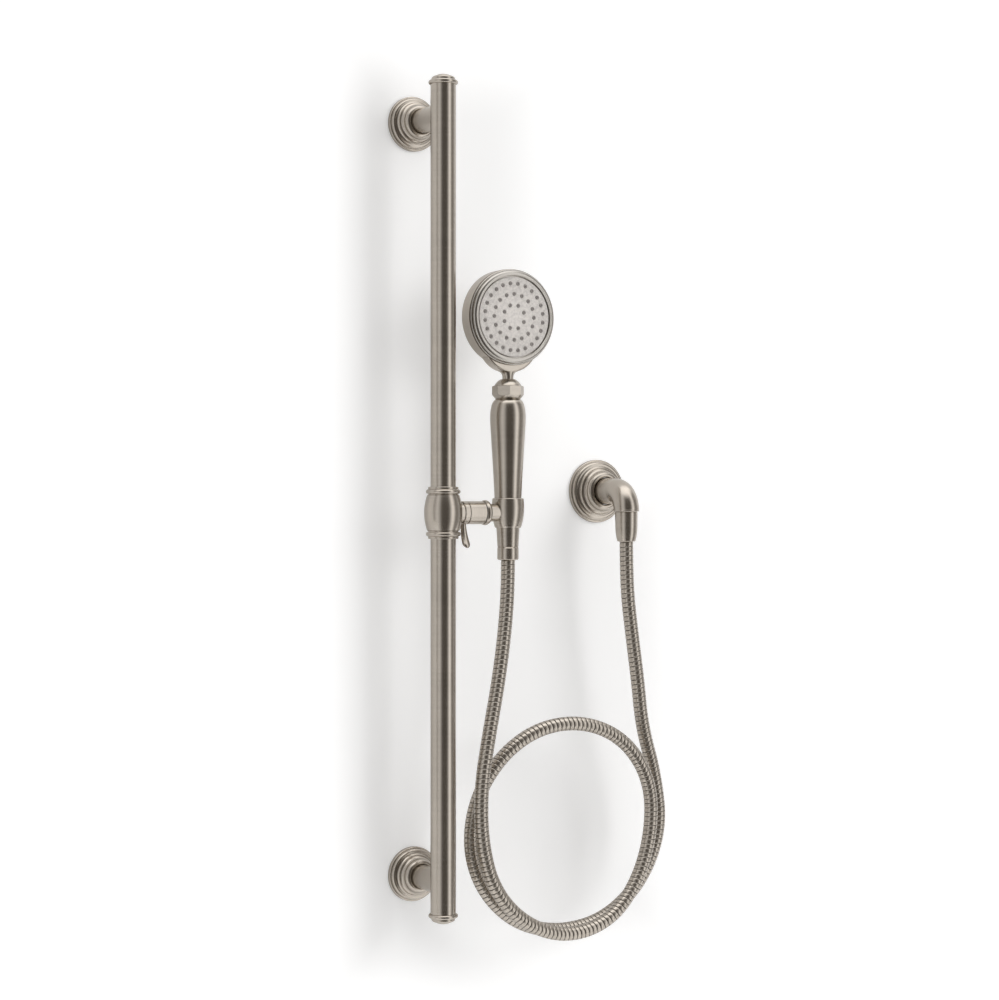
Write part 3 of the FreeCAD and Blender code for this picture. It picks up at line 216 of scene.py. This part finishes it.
def blank_tree(owner):
    """The cleared shader tree of a material, world or lamp, as a Flow with no output yet."""
    owner.use_nodes = True
    owner.node_tree.nodes.clear()
    return Flow(owner.node_tree, None)


def mixed(share, first, second):
    """A colour between two colours, by a share from 0 to 1."""
    return share.node("ShaderNodeMix", {"data_type": "RGBA"}, {0: share, 6: first, 7: second}, 2)


def combined(x, y, z):
    """A vector from three numbers, of which x is a Flow."""
    return x.node("ShaderNodeCombineXYZ", {}, {"X": x, "Y": y, "Z": z})


def noise(vector, scale, detail=2.0, roughness=0.5):
    """The value of a noise texture at a vector."""
    inputs = {"Vector": vector, "Scale": scale, "Detail": detail, "Roughness": roughness}
    return vector.node("ShaderNodeTexNoise", {}, inputs)


def grey_times(colour, factor):
    """A colour made darker or lighter by a factor."""
    return (*[min(1.0, part * factor) for part in colour[:3]], 1.0)


def two_tone(share, colour, dark, light):
    """A colour that varies between a darker and a lighter tone of itself."""
    return mixed(share, grey_times(colour, dark), grey_times(colour, light))


def surface(tree, material, inputs, height, depth):
    """Ends a material in a Principled shader, with a bump of a depth from a height."""
    bump = tree.node("ShaderNodeBump", {}, {"Strength": 1.0, "Distance": depth, "Height": height})
    shader = tree.node("ShaderNodeBsdfPrincipled", {}, {**inputs, "Normal": bump})
    tree.node("ShaderNodeOutputMaterial", {}, {"Surface": shader})
    return material


def object_point(tree, centre):
    """Object coordinates measured from a piece's own centre, as three Flows."""
    place = tree.node("ShaderNodeTexCoord", {}, {}, 3)
    moved = tree.node("ShaderNodeMapping", {}, {"Vector": place, "Location": -Vector(centre)})
    split = tree.node("ShaderNodeSeparateXYZ", {}, {"Vector": moved})
    return [Flow(tree.tree, split.output.node.outputs[k]) for k in range(3)]


# ---------------------------------------------------------------- finishes
# How fast the textures change, in cells to the metre.
LATHE_LINES = 900.0     # lathe lines from one to the next
LATHE_RUN = 12.0        # a lathe line along its own run
FINE_LINES = 3200.0     # the finest lathe lines
FINE_RUN = 60.0
PATCHES = 26.0          # uneven patches of the polish
STRIP_GRAIN = 2600.0    # grain of the hose's strip along the hose
STRIP_RUN = 90.0        # the same grain round the hose
TURN_TONES = 160.0      # tones of the hose's single turns
# Textures of the spray plate, in cells to the millimetre.
PLATE_FLECKS = 0.9
PLATE_CLOUDS = 0.42
# How far the spray plate's painted sheen, which makes its middle paler, reaches.
PAINTED_SHEEN_REACH = 0.045


def turned_nickel(name, axis, centre, colour, look):
    """Satin nickel plate with fine lathe lines that run round the piece's own axis."""
    material = bpy.data.materials.new(name)
    tree = blank_tree(material)
    across = object_point(tree, centre)
    along = across.pop("XYZ".index(axis))
    first, second = across
    radius = (first * first + second * second).root()
    place = combined(radius * LATHE_LINES, along * LATHE_LINES, first * LATHE_RUN)
    lines = noise(place, 1.0, 3.0)
    place = combined(first * PATCHES, second * PATCHES, along * PATCHES)
    patches = noise(place, 1.0, 3.0, 0.6)
    fine = noise(combined(radius * FINE_LINES, along * FINE_LINES, second * FINE_RUN), 1.0)
    tone = (lines * 0.45 + patches * 0.55).between(0.34, 0.66)
    shade = two_tone(tone, colour, 0.94, 1.05)
    rough = look.nickel_roughness - 0.035 + lines * 0.05 + patches * 0.03
    return surface(tree, material, {"Base Color": shade, "Metallic": 1.0, "Roughness": rough},
                   lines * 0.6 + fine * 0.4, look.grain_depth)


def wound_nickel(look):
    """The hose's metal strip: bright on its crown, rougher where the turns interlock, and darkened
    there by painted shade.
    """
    material = bpy.data.materials.new("hose_strip")
    tree = blank_tree(material)
    groove = tree.node("ShaderNodeAttribute", {"attribute_name": "groove"}, {}, 2)
    along = tree.node("ShaderNodeAttribute", {"attribute_name": "along"}, {}, 2)
    x, _, z = object_point(tree, (0, 0, 0))
    grain = noise(combined(along * STRIP_GRAIN, x * STRIP_RUN, z * STRIP_RUN), 1.0)
    turn_tone = noise(combined(along * TURN_TONES, 0.0, 0.0), 1.0)
    crown = two_tone(turn_tone.between(0.3, 0.7), look.nickel, 0.94, 1.10)
    # Painted shade: the strip's colour falls to 0.15 of the nickel down in the grooves between the
    # turns.
    colour = mixed(groove.between(0.12, 0.55), crown, grey_times(look.nickel, 0.15))
    rough = look.nickel_roughness + 0.01 + groove * 0.2 + grain * 0.05
    return surface(tree, material, {"Base Color": colour, "Metallic": 1.0, "Roughness": rough},
                   grain, look.grain_depth)


def sprayed_plate(name, centre, colour, look):
    """Satin face in a light colour, with a fine metallic fleck and a painted sheen that makes it
    paler towards its middle.
    """
    material = bpy.data.materials.new(name)
    tree = blank_tree(material)
    x, y, z = object_point(tree, centre)
    place = combined(x * 1000.0, y * 1000.0, z * 1000.0)
    cells = place.node("ShaderNodeTexVoronoi", {"feature": "F1"},
                       {"Vector": place, "Scale": PLATE_FLECKS})
    fleck = 1 - cells.between(0.12, 0.45)
    cloud = noise(place, PLATE_CLOUDS, 3.0, 0.7)
    # Painted sheen: the plate's colour is made paler towards its middle, where its satin face
    # catches the light.
    painted_sheen = 1 - (x * x + z * z).root().between(0.0, PAINTED_SHEEN_REACH)
    tone = cloud.between(0.38, 0.62) * 0.55 + painted_sheen * 0.45
    base = two_tone(tone, colour, 0.80, 1.16)
    shade = mixed(fleck * 0.6, base, grey_times(colour, 1.30))
    rough = look.plate_roughness + cloud * 0.08 - fleck * 0.08
    return surface(tree, material, {"Base Color": shade, "Metallic": 0.35, "Roughness": rough},
                   cells, 0.03 * MM)


def moulded(name, centre, colour, roughness, grain, depth, metallic=0.0):
    """A plain moulded or turned material: two tones of one colour and a fine grain."""
    material = bpy.data.materials.new(name)
    tree = blank_tree(material)
    x, y, z = object_point(tree, centre)
    place = combined(x * grain, y * grain, z * grain)
    speckle = noise(place, 1.0, 3.0, 0.6)
    cloud = noise(place, 0.08)
    base = two_tone(cloud.between(0.3, 0.7), colour, 0.86, 1.06)
    rough = roughness - 0.06 + speckle * 0.12
    return surface(tree, material, {"Base Color": base, "Metallic": metallic, "Roughness": rough},
                   speckle, depth)


def give(node, material):
    """Puts a material in every slot of a CAD node's object, which gets one if it has none."""
    mesh_object = NODES[node]
    if not mesh_object.material_slots:
        mesh_object.data.materials.append(material)
    for place in mesh_object.material_slots:
        place.link = "OBJECT"
        place.material = material


def centre_of(node):
    """The middle of a CAD node's box."""
    low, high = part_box(node)
    return (low + high) / 2


# ---------------------------------------------------------------- hose
def strip_profile(width, radius, groove):
    """One turn's section, as pairs of height and radius: a groove, then a crowned land."""
    deep = radius - groove
    shoulder = radius - 0.22 * groove
    return ((0, deep), (0.08 * width, deep), (0.12 * width, shoulder), (0.24 * width, radius),
            (0.84 * width, radius), (0.95 * width, shoulder), (width, deep))


def one_turn(width, radius, groove, steps):
    """A full turn of strip, swept round +Z while it climbs by its own width."""
    form = bmesh.new()
    corners = [form.verts.new((r, 0, z)) for z, r in strip_profile(width, radius, groove)]
    edges = [form.edges.new(pair) for pair in zip(corners, corners[1:])]
    bmesh.ops.spin(form, geom=corners + edges, cent=(0, 0, 0), axis=(0, 0, 1),
                   dvec=(0, 0, width / steps), angle=2 * math.pi, steps=steps)
    mesh = bpy.data.meshes.new("one_turn")
    form.to_mesh(mesh)
    form.free()
    return mesh


def straight_hose(length, hose):
    """A straight wound hose along +Z, from below 0 to above its length."""
    width = hose.pitch
    turn = bpy.data.objects.new("one_turn", one_turn(
        width, hose.diameter / 2, hose.groove, hose.sides))
    bpy.context.scene.collection.objects.link(turn)
    copies = turn.modifiers.new("turns", "ARRAY")
    copies.count = math.ceil(length / width) + SPARE_TURNS
    copies.use_relative_offset = False
    copies.use_constant_offset = True
    copies.constant_offset_displace = (0, 0, width)
    copies.use_merge_vertices = True
    copies.merge_threshold = MERGE
    depsgraph = bpy.context.evaluated_depsgraph_get()
    mesh = bpy.data.meshes.new_from_object(turn.evaluated_get(depsgraph))
    bpy.data.objects.remove(turn)
    form = bmesh.new()
    form.from_mesh(mesh)
    bpy.data.meshes.remove(mesh)
    bmesh.ops.remove_doubles(form, verts=form.verts, dist=MERGE)
    bmesh.ops.translate(form, verts=form.verts, vec=(0, 0, -TURNS_BELOW * width))
    return form


def hose_line():
    """Points along the route's smooth line, read from its spline, from the hand shower on."""
    curve = bpy.data.curves.new("hose_route", "CURVE")
    curve.dimensions = "3D"
    spline = curve.splines.new("NURBS")
    spline.points.add(len(HOSE_ROUTE) - 1)
    for point, place in zip(spline.points, HOSE_ROUTE):
        point.co = (*place, 1.0)
    spline.order_u = 3
    spline.use_endpoint_u = True
    spline.resolution_u = 48
    curve_object = bpy.data.objects.new("hose_route", curve)
    bpy.context.scene.collection.objects.link(curve_object)
    depsgraph = bpy.context.evaluated_depsgraph_get()
    mesh = bpy.data.meshes.new_from_object(curve_object.evaluated_get(depsgraph))
    line = [vertex.co.copy() for vertex in mesh.vertices]
    bpy.data.objects.remove(curve_object)
    bpy.data.meshes.remove(mesh)
    return line


class Track:
    """A line in space, with two directions across it that don't twist from point to point."""

    def __init__(self, points):
        self.points = points
        self.reach = [0.0]
        self.frames = []
        tangent = (points[1] - points[0]).normalized()
        side = tangent.orthogonal().normalized()
        for here, after in zip(points, points[1:]):
            step = after - here
            self.reach.append(self.reach[-1] + step.length)
            turn = tangent.rotation_difference(step.normalized())
            tangent = step.normalized()
            side = (turn @ side).normalized()
            self.frames.append((side.copy(), tangent.cross(side)))
        self.frames.append(self.frames[-1])
        self.length = self.reach[-1]

    def cursor(self, distance, start=0):
        """Index of the last point at or before a distance."""
        index = start
        while index + 2 < len(self.points) and self.reach[index + 1] < distance:
            index += 1
        return index

    def place(self, distance, index):
        """The place and the directions across at a distance, given the point before it."""
        span = self.reach[index + 1] - self.reach[index]
        share = (distance - self.reach[index]) / span
        spot = self.points[index].lerp(self.points[index + 1], share)
        across = [a.lerp(b, share).normalized()
                  for a, b in zip(self.frames[index], self.frames[index + 1])]
        return spot, across

    def spot(self, distance):
        """The place at a distance."""
        return self.place(distance, self.cursor(distance))[0]


def hose_stretch(name, whole, track, start, end, hose, material):
    """The part of the wound hose between two distances along its track, bent to the track."""
    form = whole.copy()
    for height, keep_below in ((start, False), (end, True)):
        bmesh.ops.bisect_plane(
            form, geom=form.verts[:] + form.edges[:] + form.faces[:], dist=CUT_MERGE,
            plane_co=(0, 0, height), plane_no=(0, 0, 1),
            clear_outer=keep_below, clear_inner=not keep_below)
    bmesh.ops.recalc_face_normals(form, faces=form.faces)
    groove = form.verts.layers.float.new("groove")
    along = form.verts.layers.float.new("along")
    radius = hose.diameter / 2
    index = 0
    for vertex in sorted(form.verts, key=lambda v: v.co.z):
        x, y, z = vertex.co
        vertex[groove] = min(1.0, (radius - math.hypot(x, y)) / hose.groove)
        vertex[along] = z
        index = track.cursor(z, index)
        spot, (side, other) = track.place(z, index)
        vertex.co = spot + side * x + other * y
    for face in form.faces:
        face.smooth = True
    mesh = bpy.data.meshes.new(name)
    form.to_mesh(mesh)
    form.free()
    mesh.materials.append(material)
    piece = bpy.data.objects.new(name, mesh)
    bpy.context.scene.collection.objects.link(piece)
    return piece


# ---------------------------------------------------------------- settings
class FinishSettings(bpy.types.PropertyGroup):
    """Colours and textures of the finishes."""

    nickel: bpy.props.FloatVectorProperty(
        name="Nickel", description="Colour of the satin nickel plate", subtype="COLOR",
        size=3, min=0.0, max=1.0, default=(0.50, 0.452, 0.395))
    bezel: bpy.props.FloatVectorProperty(
        name="Bezel", description="Colour of the plated ring round the spray plate",
        subtype="COLOR", size=3, min=0.0, max=1.0, default=(0.485, 0.459, 0.423))
    nickel_roughness: bpy.props.FloatProperty(
        name="Nickel roughness", description="How dull the nickel plate is",
        min=0.0, max=1.0, default=0.24)
    grain_depth: bpy.props.FloatProperty(
        name="Grain depth", description="Depth of the lathe lines", unit="LENGTH",
        min=0.0, default=0.000012)
    plate: bpy.props.FloatVectorProperty(
        name="Spray plate", description="Colour of the spray plate", subtype="COLOR",
        size=3, min=0.0, max=1.0, default=(0.74, 0.705, 0.67))
    plate_roughness: bpy.props.FloatProperty(
        name="Plate roughness", description="How dull the spray plate is",
        min=0.0, max=1.0, default=0.42)
    nozzle: bpy.props.FloatVectorProperty(
        name="Nozzles", description="Colour of the soft nozzles", subtype="COLOR",
        size=3, min=0.0, max=1.0, default=(0.34, 0.315, 0.295))


class HoseSettings(bpy.types.PropertyGroup):
    """Sizes of the wound metal hose."""

    diameter: bpy.props.FloatProperty(
        name="Diameter", description="Outer diameter of the hose", unit="LENGTH",
        min=0.008, max=0.020, precision=4, default=0.0143)
    pitch: bpy.props.FloatProperty(
        name="Strip width", description="Width of one turn of strip", unit="LENGTH",
        min=0.002, max=0.010, precision=4, default=0.0048)
    groove: bpy.props.FloatProperty(
        name="Groove", description="Depth of the groove between turns", unit="LENGTH",
        min=0.0001, max=0.002, precision=5, default=0.0005)
    sides: bpy.props.IntProperty(
        name="Sides", description="Steps in one turn of the strip", min=8, max=48, default=26)


class StageSettings(bpy.types.PropertyGroup):
    """The wall, the light and the camera."""

    wall: bpy.props.FloatVectorProperty(
        name="Wall", description="Colour of the wall behind the set", subtype="COLOR",
        size=3, min=0.0, max=1.0, default=(0.80, 0.80, 0.80))
    wall_glow: bpy.props.FloatProperty(
        name="Wall glow", description="White that the camera sees on top of the lit wall",
        min=0.0, default=0.31)
    wall_edge_glow: bpy.props.FloatProperty(
        name="Wall edge glow", description="More of that white on the wall round the set",
        min=0.0, default=0.20)
    key_power: bpy.props.FloatProperty(
        name="Key light", description="Power of the soft light on the right", unit="POWER",
        min=0.0, default=14.0)
    camera_turn: bpy.props.FloatProperty(
        name="Camera turn", description="Turn of the camera to the left of straight on",
        subtype="ANGLE", default=math.radians(30.0))
    camera_distance: bpy.props.FloatProperty(
        name="Camera distance", description="From the camera to the bar", unit="LENGTH",
        min=0.5, default=2.1843)
    camera_side: bpy.props.FloatProperty(
        name="Camera side step", description="How far the aim lies to the right of the bar",
        unit="LENGTH", default=0.0558)
    camera_drop: bpy.props.FloatProperty(
        name="Camera drop", description="How far the aim lies below the bar's middle",
        unit="LENGTH", default=0.0010)
    camera_lens: bpy.props.FloatProperty(
        name="Lens", description="Focal length in millimetres", min=10.0, default=79.3)


# ---------------------------------------------------------------- operators
class NickelPieces(bpy.types.Operator):
    """Gives the plated pieces their satin nickel, shared by those turned on one axis"""

    bl_idname = "hand_shower.nickel_pieces"
    bl_label = "Nickel Pieces"

    def execute(self, context):
        look = context.scene.shower_finish
        made = {}
        for axis, nodes in TURNED.items():
            for node in nodes:
                centre = centre_of(node)
                colour = look.bezel if node == "bezel_ring" else look.nickel
                spot = [round(part, 3) for part in centre]
                spot.pop("XYZ".index(axis))
                key = (axis, *colour, *spot)
                if key not in made:
                    made[key] = turned_nickel(f"nickel_{node}", axis, centre, colour, look)
                give(node, made[key])
        return {"FINISHED"}


class SprayFace(bpy.types.Operator):
    """Gives the spray plate its flecked satin and the nozzles their soft grey"""

    bl_idname = "hand_shower.spray_face"
    bl_label = "Spray Face"

    def execute(self, context):
        look = context.scene.shower_finish
        centre = centre_of("spray_plate")
        give("spray_plate", sprayed_plate("plate_satin", centre, look.plate, look))
        give("nozzle_mat", moulded("nozzle_silicone", centre, look.nozzle, 0.55, 1400.0, 0.01 * MM))
        return {"FINISHED"}


class InnerPieces(bpy.types.Operator):
    """Gives the hidden fixings, valves, washers and liners their materials"""

    bl_idname = "hand_shower.inner_pieces"
    bl_label = "Inner Pieces"

    def execute(self, context):
        origin = (0, 0, 0)
        for nodes, name, colour, roughness, grain, depth, metallic in INNER_FINISHES:
            material = moulded(name, origin, colour, roughness, grain, depth, metallic)
            for node in nodes:
                give(node, material)
        return {"FINISHED"}


class WoundHose(bpy.types.Operator):
    """Winds the metal hose and hangs it from the hand shower to the supply elbow"""

    bl_idname = "hand_shower.wound_hose"
    bl_label = "Wound Hose"

    def execute(self, context):
        hose = context.scene.shower_hose
        material = wound_nickel(context.scene.shower_finish)
        track = Track(hose_line())
        whole = straight_hose(track.length, hose)
        cuts = (*HOSE_CUTS, track.length)
        pieces = []
        for (name, *pair), start, end in zip(HOSE_PARTS, cuts, cuts[1:]):
            piece = hose_stretch(name, whole, track, start, end, hose, material)
            first, last = track.spot(start), track.spot(end)
            if name == "hose_main":
                first, last = MAIN_BLEND
            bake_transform(piece)
            pieces.append(piece)
        whole.free()
        main = pieces.pop()
        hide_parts("hose")
        return {"FINISHED"}


class Stage(bpy.types.Operator):
    """Puts up the white wall and floor, the soft light and the camera"""

    bl_idname = "hand_shower.stage"
    bl_label = "Stage"

    def execute(self, context):
        stage = context.scene.shower_stage
        backdrop(stage)
        key_light(stage)
        studio_world(context.scene)
        camera(context.scene, stage)
        context.scene.view_settings.view_transform = "Standard"
        return {"FINISHED"}


# ---------------------------------------------------------------- stage
# The backdrop's outline: the wall's place and top, the floor's height and front, the bend
# between them, and half the sheet's width.
WALL_Y = 0.0006
WALL_TOP = 3.2
FLOOR_Z = -0.62
FLOOR_FRONT = -0.7
BEND = 0.25
HALF_WIDTH = 3.5
# Where the wall's painted light, more glow for the camera, grows round the set, in halves of the
# set's width and height, which leaves a painted shade behind the set.
EDGE_ACROSS = (0.90, 1.65)
EDGE_UP = (0.92, 1.18)
# Where a painted light makes it lighter above the elbow, from the middle of the set, and by what
# share.
CORNER_ACROSS = (-0.03, 0.06)
CORNER_UP = (-0.06, 0.06)
CORNER_SHARE = 0.6
# How much of the wall's glow is mirrored in the metal.
MIRRORED_GLOW = 0.5
# The soft lamp's size, place and target.
KEY_SIZE = (1.1, 1.3)
KEY_PLACE = Vector((1.45, -1.75, 1.15))
KEY_TARGET = Vector((0.08, -0.03, 0.38))
# The studio's light levels, by degrees to the right of straight out from the wall.
LIGHT_BANDS = (
    (-180, 0.80), (-102, 0.72), (-84, 0.38), (-66, 0.98), (-50, 0.55), (-40, 0.15),
    (-34, 0.105), (2, 0.10), (10, 0.15), (20, 0.75), (30, 1.55), (38, 1.35), (50, 0.36),
    (60, 0.20), (74, 0.42), (95, 0.66), (180, 0.80),
)
# The level overhead, and how steep a direction is, from 0 to 1, where that level fades in.
OVERHEAD_LEVEL = 1.9
OVERHEAD_FADE = (0.60, 0.92)
# The level that the camera sees past the backdrop, and the level at the top of the ramp.
ROOM_LEVEL = 1.0
BRIGHTEST = 2.0
# How warm the darkest levels are, and the level from which up the light is white.
WARMTH = 0.12
NEUTRAL_LEVEL = 0.5


def white_seen(tree, material, stage):
    """A lit wall, light grey behind the set and lighter round it and above its elbow: an added glow
    of painted light, with less of it behind the set as a painted shade.
    """
    rays = tree.node("ShaderNodeLightPath", {}, {})
    names = ("Is Camera Ray", "Is Glossy Ray", "Is Transmission Ray")
    camera_ray, glossy, through = [Flow(tree.tree, rays.output.node.outputs[n]) for n in names]
    seen = camera_ray + glossy * MIRRORED_GLOW + through
    low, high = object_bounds()
    middle = (low + high) / 2
    x, _, z = object_point(tree, middle)
    across = (x * x).root() / ((high - low).x / 2)
    up = (z * z).root() / ((high - low).z / 2)
    # Painted light: more glow away from the set and above the elbow, so the wall right behind the
    # set stays darker, a painted shade.
    edge = across.maths("MAXIMUM", across.between(*EDGE_ACROSS), up.between(*EDGE_UP))
    corner = x.between(*CORNER_ACROSS) * z.between(*CORNER_UP) * CORNER_SHARE
    glow = stage.wall_glow + edge.maths("MAXIMUM", edge, corner) * stage.wall_edge_glow
    lit = tree.node("ShaderNodeBsdfDiffuse", {}, {"Color": (*stage.wall, 1.0)})
    extra = tree.node("ShaderNodeEmission", {}, {"Color": (1, 1, 1, 1), "Strength": seen * glow})
    both = tree.node("ShaderNodeAddShader", {}, {0: lit, 1: extra})
    clear = tree.node("ShaderNodeBsdfTransparent", {}, {})
    behind = tree.node("ShaderNodeNewGeometry", {}, {}, "Backfacing")
    side = tree.node("ShaderNodeMixShader", {}, {0: behind, 1: both, 2: clear})
    tree.node("ShaderNodeOutputMaterial", {}, {"Surface": side})
    return material


def backdrop(stage):
    """A wall that bends into a floor well below the set, in one sheet."""
    form = bmesh.new()
    top = form.verts.new((-HALF_WIDTH, WALL_Y, WALL_TOP))
    foot = form.verts.new((-HALF_WIDTH, WALL_Y, FLOOR_Z + BEND))
    form.edges.new((top, foot))
    bent = bmesh.ops.spin(form, geom=[foot], cent=(0, WALL_Y - BEND, FLOOR_Z + BEND),
                          axis=(1, 0, 0), angle=-math.pi / 2, steps=16)
    last = next(v for v in bent["geom_last"] if isinstance(v, bmesh.types.BMVert))
    front = form.verts.new((-HALF_WIDTH, FLOOR_FRONT, FLOOR_Z))
    form.edges.new((last, front))
    wide = bmesh.ops.extrude_edge_only(form, edges=form.edges[:])
    moved = [v for v in wide["geom"] if isinstance(v, bmesh.types.BMVert)]
    bmesh.ops.translate(form, verts=moved, vec=(2 * HALF_WIDTH, 0, 0))
    for face in form.faces:
        face.smooth = True
        face.normal_update()
    if form.faces[:][0].normal.y > 0:
        bmesh.ops.reverse_faces(form, faces=form.faces)
    mesh = bpy.data.meshes.new("backdrop")
    form.to_mesh(mesh)
    form.free()
    material = bpy.data.materials.new("backdrop_white")
    mesh.materials.append(white_seen(blank_tree(material), material, stage))
    sheet = bpy.data.objects.new("backdrop", mesh)
    bpy.context.scene.collection.objects.link(sheet)
    sheet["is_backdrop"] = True


def aimed(thing, place, target):
    """Puts a lamp or camera at a place and points it at a target."""
    thing.location = place
    thing.rotation_mode = "QUATERNION"
    thing.rotation_quaternion = (target - place).to_track_quat("-Z", "Y")


def key_light(stage):
    """A large soft lamp from the right that throws the shadows on the wall."""
    lamp = bpy.data.lights.new("key_light", "AREA")
    lamp.shape = "RECTANGLE"
    lamp.size, lamp.size_y = KEY_SIZE
    lamp.energy = stage.key_power
    key = bpy.data.objects.new("key_light", lamp)
    key.visible_glossy = False
    bpy.context.scene.collection.objects.link(key)
    aimed(key, KEY_PLACE, KEY_TARGET)


def lamp_tone(level):
    """Ramp colour of a light level: white where it is bright and a warm grey where it is dim."""
    warmth = WARMTH * max(0.0, 1 - level / NEUTRAL_LEVEL)
    share = level / BRIGHTEST
    return share * (1 + warmth), share, share * (1 - warmth), 1.0


def studio_world(scene):
    """A plain studio: bright softboxes to the sides and a dim room in front of the wall."""
    world = bpy.data.worlds.new("studio")
    scene.world = world
    tree = blank_tree(world)
    way = tree.node("ShaderNodeTexCoord", {}, {}, 0)
    split = tree.node("ShaderNodeSeparateXYZ", {}, {"Vector": way}).output.node.outputs
    x, y, z = [Flow(tree.tree, socket) for socket in split]
    turn = tree.maths("ARCTAN2", x, 0 - y) / (2 * math.pi) + 0.5
    stops = [(0.5 + angle / 360, lamp_tone(level)) for angle, level in LIGHT_BANDS]
    ring = turn.node("ShaderNodeValToRGB", {"stops": stops}, {0: turn})
    around = mixed(z.between(*OVERHEAD_FADE), ring, lamp_tone(OVERHEAD_LEVEL))
    rays = tree.node("ShaderNodeLightPath", {}, {}).output.node.outputs
    seen = Flow(tree.tree, rays["Is Camera Ray"]) + Flow(tree.tree, rays["Is Transmission Ray"])
    colour = mixed(seen, around, lamp_tone(ROOM_LEVEL))
    room = tree.node("ShaderNodeBackground", {}, {"Color": colour, "Strength": BRIGHTEST})
    tree.node("ShaderNodeOutputWorld", {}, {"Surface": room})


def camera(scene, stage):
    """The camera, to the left of straight on and level with the middle of the bar."""
    low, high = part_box("slide_bar")
    middle = (low + high) / 2
    back = Vector((-math.sin(stage.camera_turn), -math.cos(stage.camera_turn), 0))
    right = Vector((-back.y, back.x, 0))
    aim = middle + right * stage.camera_side - Vector((0, 0, stage.camera_drop))
    lens = bpy.data.cameras.new("camera")
    lens.lens = stage.camera_lens
    view = bpy.data.objects.new("camera", lens)
    scene.collection.objects.link(view)
    aimed(view, aim + back * stage.camera_distance, aim)
    scene.camera = view


class HandShowerPanel(bpy.types.Panel):
    """Sizes, finishes and steps of the hand shower set"""

    bl_idname = "VIEW3D_PT_hand_shower"
    bl_label = "Hand Shower"
    bl_space_type = "VIEW_3D"
    bl_region_type = "UI"
    bl_category = "Hand Shower"

    def draw(self, context):
        for name in ("shower_finish", "shower_hose", "shower_stage"):
            settings = getattr(context.scene, name)
            column = self.layout.box().column()
            for key in settings.bl_rna.properties.keys():
                if key not in ("rna_type", "name"):
                    column.prop(settings, key)
        for step in STEPS:
            self.layout.operator(step.bl_idname)


SETTINGS = {
    "shower_finish": FinishSettings,
    "shower_hose": HoseSettings,
    "shower_stage": StageSettings,
}
STEPS = (Stage, WoundHose, NickelPieces, SprayFace, InnerPieces)


def register():
    for made in (*SETTINGS.values(), *STEPS, HandShowerPanel):
        bpy.utils.register_class(made)
    for name, settings in SETTINGS.items():
        setattr(bpy.types.Scene, name, bpy.props.PointerProperty(type=settings))


def unregister():
    for name in SETTINGS:
        delattr(bpy.types.Scene, name)
    for made in (HandShowerPanel, *reversed(STEPS), *reversed(tuple(SETTINGS.values()))):
        bpy.utils.unregister_class(made)


def main():
    register()
    bpy.ops.hand_shower.stage()
    bpy.ops.hand_shower.wound_hose()
    bpy.ops.hand_shower.nickel_pieces()
    bpy.ops.hand_shower.spray_face()
    bpy.ops.hand_shower.inner_pieces()
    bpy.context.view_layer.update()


if __name__ == "__main__":
    main()
